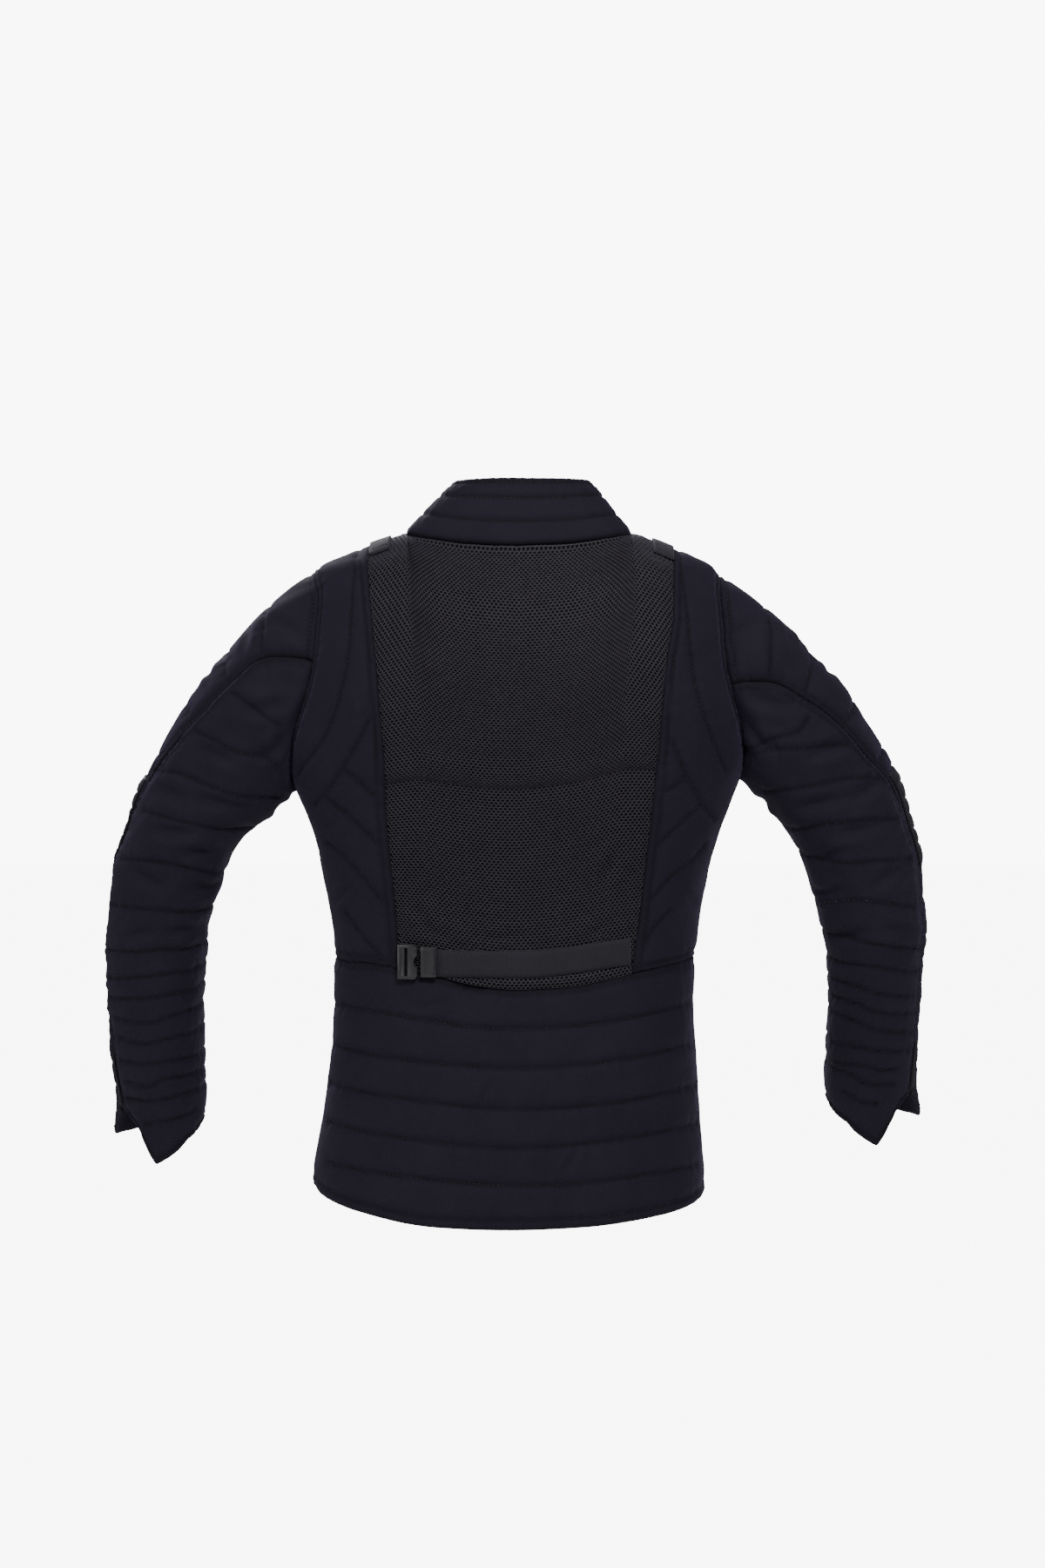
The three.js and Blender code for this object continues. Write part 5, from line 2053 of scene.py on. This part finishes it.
    def strip(self, grid: Grid, cloth: Wardrobe) -> Piece:
        """The smooth strip that closes the seam above the vent.

        Args:
            grid: Its base surface.
            cloth: The materials.

        Returns:
            The piece.
        """
        label = self.half.side.label
        crown = 1.5 + 0.5 * (1 - np.linspace(-1, 1, 7) ** 2)[None, :] + 0 * grid.points[..., 0]
        piece = wall_piece(f"cuff_strip_{label}", grid, crown, -0.4, cloth.tape, "tape")
        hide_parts(f"cuff_gusset_{label}")
        return piece


# --- Mesh back ---
@dataclass
class MeshBack:
    """The spacer-mesh panel: a knitted net of six-sided holes over a real ground layer, whose near-black
    colour is partly painted shade inside the holes.
    """

    pitch: float = 4.2
    row_pitch: float = 2.5
    hole: float = 0.66
    sink: float = 0.9
    ground_depth: float = 1.5
    half_reach: float = 195.0

    def grid(self) -> Grid:
        """Grid of the whole panel."""
        left, right = HALVES[Side.LEFT], HALVES[Side.RIGHT]
        shoulder = [between(half.mesh_top, half.neck, STEPS.shoulder_by_mesh) for half in (left, right)]
        neck = along_seam(left.neck[0], right.neck[0], STEPS.neck_back, BODY_FORM.neck)
        top = joined(shoulder[0], neck, shoulder[1][::-1])
        bottom = along_seam(left.mesh_bottom[0], right.mesh_bottom[0], len(top) - 1, BODY_FORM.waist)
        return torso_grid(top, bottom, left.mesh_edge, right.mesh_edge)

    def relief(self, grid: Grid) -> Relief:
        """How the net stands over the panel's base: slack, with a roll under the strap.

        Args:
            grid: The panel's grid.

        Returns:
            The relief.
        """
        folds = (((89, -368), (74, -378), (57, -384)), ((96, -352), (84, -364)),
                 ((40, -380), (10, -384), (-20, -380)), ((-84, -372), (-70, -382)),
                 ((70, -330), (84, -350)), ((-96, -300), (-84, -330)))
        creases = [Crease(torso_line(fold, Thread.NONE), 1.8, 7) for fold in folds]
        return Relief(grid.borders(), 81, puff=0.9, groove=0.7, reach=12, wave=1.0, pucker=0.3,
                      creases=creases, pressed=PRESSED, press_to=8)

    def height(self, relief: Relief, points: Array) -> Array:
        """Height of the net over the base, with the roll of slack under the strap.

        Args:
            relief: The panel's relief.
            points: Points of the base.

        Returns:
            Heights.
        """
        height, _ = relief.height(points)
        x, _, z = np.moveaxis(points, -1, 0)
        roll = np.exp(-((z - strap_height(x) + 18.5) / 4.0) ** 2) * (1 - (x / 112) ** 6).clip(0)
        return height + 3.2 * roll

    def build(self, cloth: Wardrobe) -> list[Piece]:
        """Makes the ground and the net.

        Args:
            cloth: The materials.

        Returns:
            The pieces.
        """
        grid = self.grid()
        relief = self.relief(grid)
        face = self.height(relief, grid.points)
        under = Grid(grid.points[::2, ::2], grid.normals[::2, ::2])
        ground = wall_piece("mesh_ground", under, face[::2, ::2] - self.ground_depth, 3.2, cloth.ground,
                            "spacer_mesh")
        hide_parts("back_mesh")
        net = self.net(grid, relief, cloth)
        return [ground, net]

    def even(self, grid: Grid) -> tuple[Array, Array, Array]:
        """The grid with its columns a millimetre apart on every row, counted from the middle.

        Args:
            grid: The panel's grid.

        Returns:
            Points, outward directions, and half the width of every row on each side.
        """
        marks = np.arange(-self.half_reach, self.half_reach + 1)
        points, normals, reach = [], [], []
        for row, way in zip(grid.points, grid.normals):
            run = np.concatenate([[0], np.cumsum(np.linalg.norm(np.diff(row, axis=0), axis=1))])
            centre = np.interp(0, row[::-1, 0], run[::-1])
            points.append(np.stack([np.interp(marks, run - centre, row[:, k]) for k in range(3)], -1))
            normals.append(np.stack([np.interp(marks, run - centre, way[:, k]) for k in range(3)], -1))
            reach.append((centre, run[-1] - centre))
        return np.array(points), np.array(normals), np.array(reach)

    def net(self, grid: Grid, relief: Relief, cloth: Wardrobe) -> Piece:
        """The net, six faces round each hole.

        Args:
            grid: The panel's grid.
            relief: Its relief.
            cloth: The materials.

        Returns:
            The piece.
        """
        points, normals, reach = self.even(grid)
        tall = len(points)
        down = np.linalg.norm(np.diff(grid.points[:, grid.points.shape[1] // 2], axis=0), axis=1).sum()
        rows = int(down / self.row_pitch)
        across = int(self.half_reach * 2 / self.pitch)
        row, column = np.meshgrid(np.arange(rows), np.arange(across), indexing="ij")
        row, column = row.ravel(), column.ravel()
        width_at = lambda t: np.clip(t / rows * (tall - 1), 0, tall - 1)
        centre_s = (column + 0.5 * (row % 2) - across / 2) * self.pitch
        level = width_at(row + 0.5).astype(int)
        keep = (centre_s > -reach[level, 0] + 0.5) & (centre_s < reach[level, 1] - 0.5)
        row, column = row[keep], column[keep]
        # Corners run round each hole: top, two on the right, bottom, two on the left.
        side = np.array([0, 1, 1, 0, -1, -1])
        shelf = np.array([-2, -1, 0, 1, 0, -1])
        key_x = (2 * column + row % 2)[:, None] + side
        key_y = 2 * row[:, None] + shelf
        keys = (key_y + 4) * 4096 + key_x + 8
        found, corner = np.unique(keys, return_inverse=True)
        corner = corner.reshape(keys.shape)
        cy, cx = found // 4096 - 4, found % 4096 - 8
        s = (cx / 2 - across / 2) * self.pitch
        t = np.floor_divide(cy, 2) + np.where(cy % 2 == 0, 2 / 3, 1) + 1 / 6
        fi = width_at(t)
        low = np.minimum(fi.astype(int), tall - 2)
        part = (fi - low)[:, None]
        limit = reach[low]
        s = np.clip(s, -limit[:, 0], limit[:, 1])
        col = np.clip(s + self.half_reach, 0, points.shape[1] - 1.001)
        left = col.astype(int)
        slide = (col - left)[:, None]
        read = lambda v: ((v[low, left] * (1 - slide) + v[low, left + 1] * slide) * (1 - part)
                          + (v[low + 1, left] * (1 - slide) + v[low + 1, left + 1] * slide) * part)
        base, way = read(points), unit(read(normals))
        outer = base + way * self.height(relief, base)[:, None]
        middle = outer[corner].mean(axis=1, keepdims=True)
        rim = middle + (outer[corner] - middle) * self.hole - way[corner] * self.sink
        count = len(outer)
        inner = count + np.arange(len(corner) * 6).reshape(-1, 6)
        after = np.roll(np.arange(6), -1)
        quads = np.stack([corner, inner, inner[:, after], corner[:, after]], -1).reshape(-1, 4)
        vertices = np.concatenate([outer, rim.reshape(-1, 3)])
        a, b, c = (vertices[quads[0, k]] for k in (0, 1, 2))
        if np.dot(np.cross(b - a, c - a), way[0]) < 0:
            quads = quads[:, ::-1]
        flat = np.stack([s, t * self.row_pitch], -1) * MM
        uv = np.concatenate([flat, flat[corner].reshape(-1, 2)])
        return make_piece("mesh_net", vertices, quads, cloth.mesh, "spacer_mesh", uv)


# --- Webbing and its fittings ---
class Bench:
    """Models hard pieces with Blender's own operators, in metres at the origin."""

    @staticmethod
    def only(piece: Piece) -> None:
        """Selects one piece alone and makes it active.

        Args:
            piece: The piece.
        """
        bpy.ops.object.select_all(action="DESELECT")
        bpy.context.view_layer.objects.active = piece
        piece.select_set(True)

    @staticmethod
    def block(name: str, size: Triple, at: Triple = (0, 0, 0)
              ) -> Piece:
        """Adds a block of a size in millimetres at a place.

        Args:
            name: Name of the piece.
            size: Width, height and thickness.
            at: Its middle.

        Returns:
            The block, alone selected.
        """
        bpy.ops.object.select_all(action="DESELECT")
        bpy.ops.mesh.primitive_cube_add(size=MM, location=[v * MM for v in at])
        block = bpy.context.object
        block.name = name
        bpy.ops.transform.resize(value=size)
        bpy.ops.object.transform_apply(location=True, rotation=True, scale=True)
        return block

    @staticmethod
    def rod(name: str, radius: float, length: float, at: Triple) -> Piece:
        """Adds an upright rod of a size in millimetres at a place.

        Args:
            name: Name of the piece.
            radius: Its radius.
            length: Its length.
            at: Its middle.

        Returns:
            The rod, alone selected.
        """
        bpy.ops.object.select_all(action="DESELECT")
        bpy.ops.mesh.primitive_cylinder_add(vertices=40, radius=radius * MM, depth=length * MM,
                                            location=[v * MM for v in at])
        rod = bpy.context.object
        rod.name = name
        bpy.ops.object.transform_apply(location=True, rotation=True, scale=True)
        return rod

    @staticmethod
    def edit(piece: Piece, pick: Callable[[Vector], bool], action: Callable[[], None],
             mode: str = "VERT") -> None:
        """Runs an operator in edit mode on the parts of a piece picked by their place.

        Args:
            piece: The piece.
            pick: Says of a place, in millimetres, whether it is taken.
            action: The operator to run.
            mode: "VERT" to pick vertices or "FACE" to pick faces by their middle.
        """
        Bench.only(piece)
        bpy.ops.object.mode_set(mode="EDIT")
        bpy.ops.mesh.select_mode(type=mode)
        bpy.ops.mesh.select_all(action="DESELECT")
        bpy.ops.object.mode_set(mode="OBJECT")
        if mode == "FACE":
            for face in piece.data.polygons:
                face.select = pick(face.center / MM)
        else:
            for vertex in piece.data.vertices:
                vertex.select = pick(vertex.co / MM)
        bpy.ops.object.mode_set(mode="EDIT")
        action()
        bpy.ops.object.mode_set(mode="OBJECT")

    @staticmethod
    def modify(piece: Piece, kind: str, **settings: object) -> None:
        """Adds a modifier with its settings and applies it.

        Args:
            piece: The piece.
            kind: Type of the modifier.
            **settings: Its properties.
        """
        Bench.only(piece)
        modifier = piece.modifiers.new(kind.lower(), kind)
        for key, value in settings.items():
            setattr(modifier, key, value)
        bpy.ops.object.modifier_apply(modifier=modifier.name)

    @staticmethod
    def cut(piece: Piece, tool: Piece, operation: str = "DIFFERENCE") -> None:
        """Cuts a piece with another, or joins it, and removes the tool.

        Args:
            piece: The piece.
            tool: What cuts or joins it.
            operation: "DIFFERENCE" or "UNION".
        """
        Bench.modify(piece, "BOOLEAN", object=tool, operation=operation, solver="EXACT")
        bpy.data.objects.remove(tool, do_unlink=True)

    @staticmethod
    def place(piece: Piece, matrix: Matrix) -> None:
        """Turns a piece to its place and bakes that into its mesh.

        Args:
            piece: The piece.
            matrix: Its place, in metres.
        """
        Bench.only(piece)
        piece.matrix_world = matrix
        bpy.ops.object.transform_apply(location=True, rotation=True, scale=True)
        bpy.ops.object.shade_smooth_by_angle(angle=math.radians(40))


def back_frame(x: float, z: float, lift: float) -> Matrix:
    """Place on the back: X along the waist, Y up, Z outwards.

    Args:
        x: Distance across.
        z: Height.
        lift: Distance out from the surface.

    Returns:
        The place, in metres.
    """
    turn = BODY_FORM.turn_at(x, z)
    point, normal = BODY_FORM.point(turn, z), BODY_FORM.normal(turn, z)
    out = Vector((normal[0], normal[1], 0)).normalized()
    up = Vector((0, 0, 1))
    along = up.cross(out)
    matrix = Matrix((along, up, out)).transposed().to_4x4()
    matrix.translation = (Vector(point) + out * lift) * MM
    return matrix


@dataclass
class WaistStrap:
    """Waist strap with its anchor, ladder-lock buckle and slider."""

    width: float = 25.4
    lift: float = 0.45
    buckle_x: float = 97.5
    buckle_size: Triple = (19, 32, 4)
    slider_x: float = 78.5
    slider_size: Triple = (14.5, 28, 3.4)
    height: float = -404.5
    hardware_lift: float = 2.9

    def webbing(self, name: str, grid: Grid, node: str, cut: Cut, rests_on: str, cloth: Wardrobe,
                lift: float) -> Piece:
        """A length of webbing with rounded edges.

        Args:
            name: Name of the piece.
            grid: Its base.
            node: The node that it stands for.
            cut: Its flat size; not used.
            rests_on: The piece that it lies on; not used.
            cloth: The materials.
            lift: Clearance under it.

        Returns:
            The piece.
        """
        tall, wide = grid.points.shape[:2]
        rim = np.ones((tall, wide))
        rim[0] = rim[-1] = 0.45
        dips = 0.15 * ripple(grid.points.reshape(-1, 3), 91, 30).reshape(tall, wide)
        piece = wall_piece(name, grid, lift + WEBBING * rim + dips, -lift, cloth.webbing, "webbing")
        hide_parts(node)
        return piece

    def buckle(self, cloth: Wardrobe) -> Piece:
        """Ladder-lock: a frame with one slot and a waved lip on the strap's side.

        Args:
            cloth: The materials.

        Returns:
            The piece.
        """
        wide, tall, thick = self.buckle_size
        frame_block = Bench.block("ladder_lock", self.buckle_size, (0, 0, thick / 2))
        edge = wide / 2
        Bench.cut(frame_block, Bench.rod("lip_tool", 7.0, 14, (edge + 3.8, 0, thick / 2)))
        for end in (-1, 1):
            corner = (edge + 2.6, end * (tall / 2 + 0.8), thick / 2)
            Bench.cut(frame_block, Bench.rod("corner_tool", 4.5, 14, corner))
        Bench.cut(frame_block, Bench.block("slot_tool", (3.0, 25.8, 12), (-1.2, 0, thick / 2)))
        Bench.cut(frame_block, Bench.block("dish_tool", (2.6, 25.8, 2.0), (-5.6, 0, thick + 0.4)))
        Bench.modify(frame_block, "BEVEL", width=0.55 * MM, segments=2, limit_method="ANGLE",
                     angle_limit=math.radians(50))
        Bench.place(frame_block, back_frame(self.buckle_x, self.height, self.hardware_lift))
        return self.finish(frame_block, "strap_buckle", cloth)

    def slider(self, cloth: Wardrobe) -> Piece:
        """Strap slider: a smooth plate with a ribbed ridge on its buckle side.

        Args:
            cloth: The materials.

        Returns:
            The piece.
        """
        wide, tall, thick = self.slider_size
        plate = Bench.block("strap_keeper", self.slider_size, (0, 0, thick / 2))
        Bench.edit(plate, lambda at: True, lambda: bpy.ops.mesh.subdivide(number_cuts=3))
        face = lambda at: at.z > thick - 0.1 and abs(at.x) < wide / 3 and abs(at.y) < tall / 3
        Bench.edit(plate, face, lambda: bpy.ops.transform.translate(value=(0, 0, -0.35 * MM)))
        ridge_x = wide / 2 - 2.7
        Bench.cut(plate, Bench.block("ridge_tool", (2.2, tall - 3, 2.4), (ridge_x, 0, thick)), "UNION")
        for k in range(9):
            groove = Bench.block("groove_tool", (3.0, 0.9, 1.0), (ridge_x, (k - 4) * 2.7, thick + 1.3))
            Bench.cut(plate, groove)
        Bench.modify(plate, "BEVEL", width=0.4 * MM, segments=2, limit_method="ANGLE",
                     angle_limit=math.radians(50))
        Bench.place(plate, back_frame(self.slider_x, self.height, self.hardware_lift))
        return self.finish(plate, "strap_slider", cloth)

    def finish(self, piece: Piece, node: str, cloth: Wardrobe) -> Piece:
        """Dresses a fitting and puts it on the body in place of its node.

        Args:
            piece: The fitting.
            node: The node that it stands for.
            cloth: The materials.

        Returns:
            The fitting.
        """
        piece.data.materials.clear()
        piece.data.materials.append(cloth.plastic)
        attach(piece, BODY)
        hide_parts(node)
        return piece

    def build(self, cloth: Wardrobe) -> list[Piece]:
        """Makes the strap and its fittings.

        Args:
            cloth: The materials.

        Returns:
            The pieces.
        """
        strap = self.webbing("waist_webbing", back_band(84, -107.5, 96, self.width), "waist_strap",
                             Cut(0.0254, 0.20, 0.0049), "mesh_net", cloth, self.lift)
        anchor = self.webbing("anchor_webbing", back_band(104.9, 93.5, 8, self.width), "strap_anchor",
                              Cut(0.0254, 0.013, 0.00031), "mesh_net", cloth, self.lift)
        return [strap, anchor, self.buckle(cloth), self.slider(cloth)]

    def tabs(self, side: Side, cloth: Wardrobe) -> list[Piece]:
        """Webbing tab over one shoulder, stitched across near each end.

        Args:
            side: Which shoulder.
            cloth: The materials.

        Returns:
            The pieces.
        """
        grid = tab_grid(TAB_X[side], 19, 47, -40)
        name = f"shoulder_webbing_{side.label}"
        tab = self.webbing(name, grid, f"shoulder_tab_{side.label}", Cut(0.019, 0.10, 0.0019),
                           f"back_side_panel_{side.label}", cloth, 0.8)
        raised = Grid(grid.points + grid.normals * (0.85 + WEBBING), grid.normals)
        lines = [Line(raised.points[k, 1:-1], raised.normals[k, 1:-1], Thread.PALE) for k in (1, 4, 44, 47)]
        flat = Relief(lines, 95, puff=0.0, groove=0.0, pucker=0.0, wave=0.0)
        stitches = Stitches(length=2.0, pitch=2.6, radius=0.3).build(
            f"{name}_stitches", lines, flat, cloth.pale_thread, "webbing")
        return [tab, stitches]


# --- Zip ---
@dataclass
class Zip:
    """Closed centre-front zip: tape, teeth, slider and pull."""

    half_width: float = 8.2
    depth: float = 0.6
    thickness: float = 1.2
    tooth_pitch: float = 2.2

    def grid(self, rows: int = 320) -> Grid:
        """Grid of the tape, from the hem to the top of the collar.

        Args:
            rows: Number of steps along it.

        Returns:
            The grid.
        """
        z = np.linspace(float(BODY_FORM.hem(180)) + 3, float(BODY_FORM.neck(180)) - 1, rows)
        rise = np.linspace(0.04, 0.94, rows // 10)
        centre = np.concatenate([BODY_FORM.point(180 + 0 * z, z), COLLAR_FORM.point(180 + 0 * rise, rise)])
        normal = np.concatenate([BODY_FORM.normal(180 + 0 * z, z),
                                 COLLAR_FORM.normal(180 + 0 * rise, rise)])
        across = np.linspace(-self.half_width, self.half_width, 9)
        points = np.repeat(centre[:, None], 9, axis=1)
        points[..., 0] = across
        normals = np.repeat(normal[:, None], 9, axis=1)
        normals[..., 0] = 0
        return Grid(points, unit(normals))

    def build(self, cloth: Wardrobe) -> list[Piece]:
        """Makes the tape and teeth and dresses the slider and pull.

        Args:
            cloth: The materials.

        Returns:
            The new pieces.
        """
        grid = self.grid()
        depth = np.full(grid.points.shape[:2], -self.depth)
        tape = wall_piece("zip_webbing", grid, depth, self.depth + self.thickness, cloth.tape, "tape")
        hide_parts("zip_tape")
        for name in ("zip_slider", "zip_pull"):
            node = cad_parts[name]
            node.data.materials.clear()
            node.data.materials.append(cloth.metal)
        return [tape, self.teeth(grid, cloth)]

    def teeth(self, grid: Grid, cloth: Wardrobe) -> Piece:
        """The closed teeth, one small shape repeated down the tape.

        Args:
            grid: The tape's grid.
            cloth: The materials.

        Returns:
            The piece.
        """
        middle = Line(grid.points[4:-4, 4], grid.normals[4:-4, 4]).spaced(self.tooth_pitch / 2)
        along = unit(np.gradient(middle.points, axis=0))
        across = np.array((1.0, 0, 0))
        hand = np.where(np.arange(len(middle.points)) % 2, 1.0, -1.0)[:, None]
        points = []
        for x, y, z in ((-0.6, -0.5, 0), (2.6, -0.5, 0), (2.6, 0.5, 0), (-0.6, 0.5, 0),
                        (-0.3, -0.35, 1.1), (2.3, -0.35, 1.1), (2.3, 0.35, 1.1), (-0.3, 0.35, 1.1)):
            points.append(middle.points + hand * across * x + along * (y * self.tooth_pitch * 0.42)
                          + middle.normals * (z - self.depth))
        shape = ((0, 1, 2, 3), (4, 7, 6, 5), (0, 4, 5, 1), (1, 5, 6, 2), (2, 6, 7, 3), (3, 7, 4, 0))
        solid = np.stack(points, axis=1)
        faces = []
        for k, corners in enumerate(solid):
            cells = faces_out(corners - corners.mean(axis=0), np.array(shape))
            faces += (cells + 8 * k).tolist()
        return make_piece("zip_teeth", solid.reshape(-1, 3), faces, cloth.metal, "zip_metal")


# --- Studio ---
@dataclass
class Studio:
    """Pale floor, soft lights and the camera."""

    floor_z: float = -1.02
    floor_half: float = 30.0
    white: float = 9.0
    ambient: float = 0.12
    lens: float = 77.07
    camera_at: Triple = (-0.0075, 3.2, -0.2395)

    def build(self) -> None:
        """Sets up the floor, the surroundings, the lights and the camera."""
        bpy.ops.object.select_all(action="DESELECT")
        bpy.ops.mesh.primitive_plane_add(size=self.floor_half * 2, location=(0, 0, self.floor_z))
        floor = bpy.context.object
        floor.name = "studio_floor"
        bpy.ops.object.transform_apply(location=True, rotation=True, scale=True)
        pale = bpy.data.materials.new("pale_floor")
        pale.use_nodes = True
        shader = pale.node_tree.nodes["Principled BSDF"]
        shader.inputs["Base Color"].default_value = (0.86, 0.86, 0.86, 1)
        shader.inputs["Roughness"].default_value = 0.9
        graph = NodeGraph(pale.node_tree)
        glow = graph.add("Emission", Color=(1, 1, 1, 1), Strength=self.white)
        seen = graph.maths("MULTIPLY", graph.add("LightPath").outputs["Is Camera Ray"], 0.9)
        both = graph.add("MixShader", _0=seen, _1=shader.outputs[0], _2=glow.outputs[0])
        pale.node_tree.links.new(both.outputs[0], pale.node_tree.nodes["Material Output"].inputs[0])
        floor.data.materials.append(pale)
        floor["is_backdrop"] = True
        world = bpy.data.worlds.new("studio_surroundings")
        bpy.context.scene.world = world
        world.use_nodes = True
        backdrop = world.node_tree.nodes["Background"]
        backdrop.inputs["Color"].default_value = (1, 1, 1, 1)
        graph = NodeGraph(world.node_tree)
        seen = graph.add("LightPath").outputs["Is Camera Ray"]
        strength = graph.add("MapRange", Value=seen, To_Min=self.ambient, To_Max=self.white)
        world.node_tree.links.new(strength.outputs[0], backdrop.inputs["Strength"])
        self.lamp("key", (-0.5, 2.3, 1.7), 0.9, 50)
        self.lamp("fill", (2.4, 2.2, 0.6), 1.6, 14)
        self.lamp("top", (0.0, 0.2, 2.4), 1.4, 8)
        self.lamp("front", (0.8, -2.7, 1.9), 1.5, 60)
        camera = bpy.data.cameras.new("studio_camera")
        camera.lens, camera.sensor_width, camera.sensor_fit = self.lens, 36, "AUTO"
        holder = bpy.data.objects.new("studio_camera", camera)
        bpy.context.scene.collection.objects.link(holder)
        holder.location = self.camera_at
        holder.rotation_euler = (math.radians(90), 0, math.radians(180))
        bpy.context.scene.camera = holder

    def lamp(self, name: str, at: Triple, size: float, watts: float) -> None:
        """Adds a square soft light aimed at the chest.

        Args:
            name: Name of the light.
            at: Its place.
            size: Its side.
            watts: Its power.
        """
        light = bpy.data.lights.new(name, "AREA")
        light.size, light.energy = size, watts
        holder = bpy.data.objects.new(name, light)
        bpy.context.scene.collection.objects.link(holder)
        holder.location = at
        aim = Vector((0, 0, -0.3)) - Vector(at)
        holder.rotation_euler = aim.to_track_quat("-Z", "Y").to_euler()


def write_sizes() -> None:
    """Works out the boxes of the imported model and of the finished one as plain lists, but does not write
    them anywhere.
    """
    boxes = {"cad": CAD_BOX, "visual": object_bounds()}
    plain = {name: [[float(value) for value in corner] for corner in box] for name, box in boxes.items()}


def main() -> None:
    """Builds the jacket piece by piece and sets up the studio."""
    logging.basicConfig(level=logging.INFO, format="%(message)s")
    Studio().build()
    cloth = Wardrobe()
    made = []
    made += MeshBack().build(cloth)
    back = BackPanels()
    made += back.lower(cloth)
    strap = WaistStrap()
    made += Collar().build(cloth)
    for half in HALVES.values():
        made += back.side(half, cloth)
        made += Fronts().build(half, cloth)
        made += Sleeve(half).build(cloth)
        made += strap.tabs(half.side, cloth)
    made += strap.build(cloth)
    made += Zip().build(cloth)
    for piece in made:
        triangles = sum(len(face.vertices) - 2 for face in piece.data.polygons)
        log.info("%s: %d triangles", piece.name, triangles)
    write_sizes()


if __name__ == "__main__":
    main()
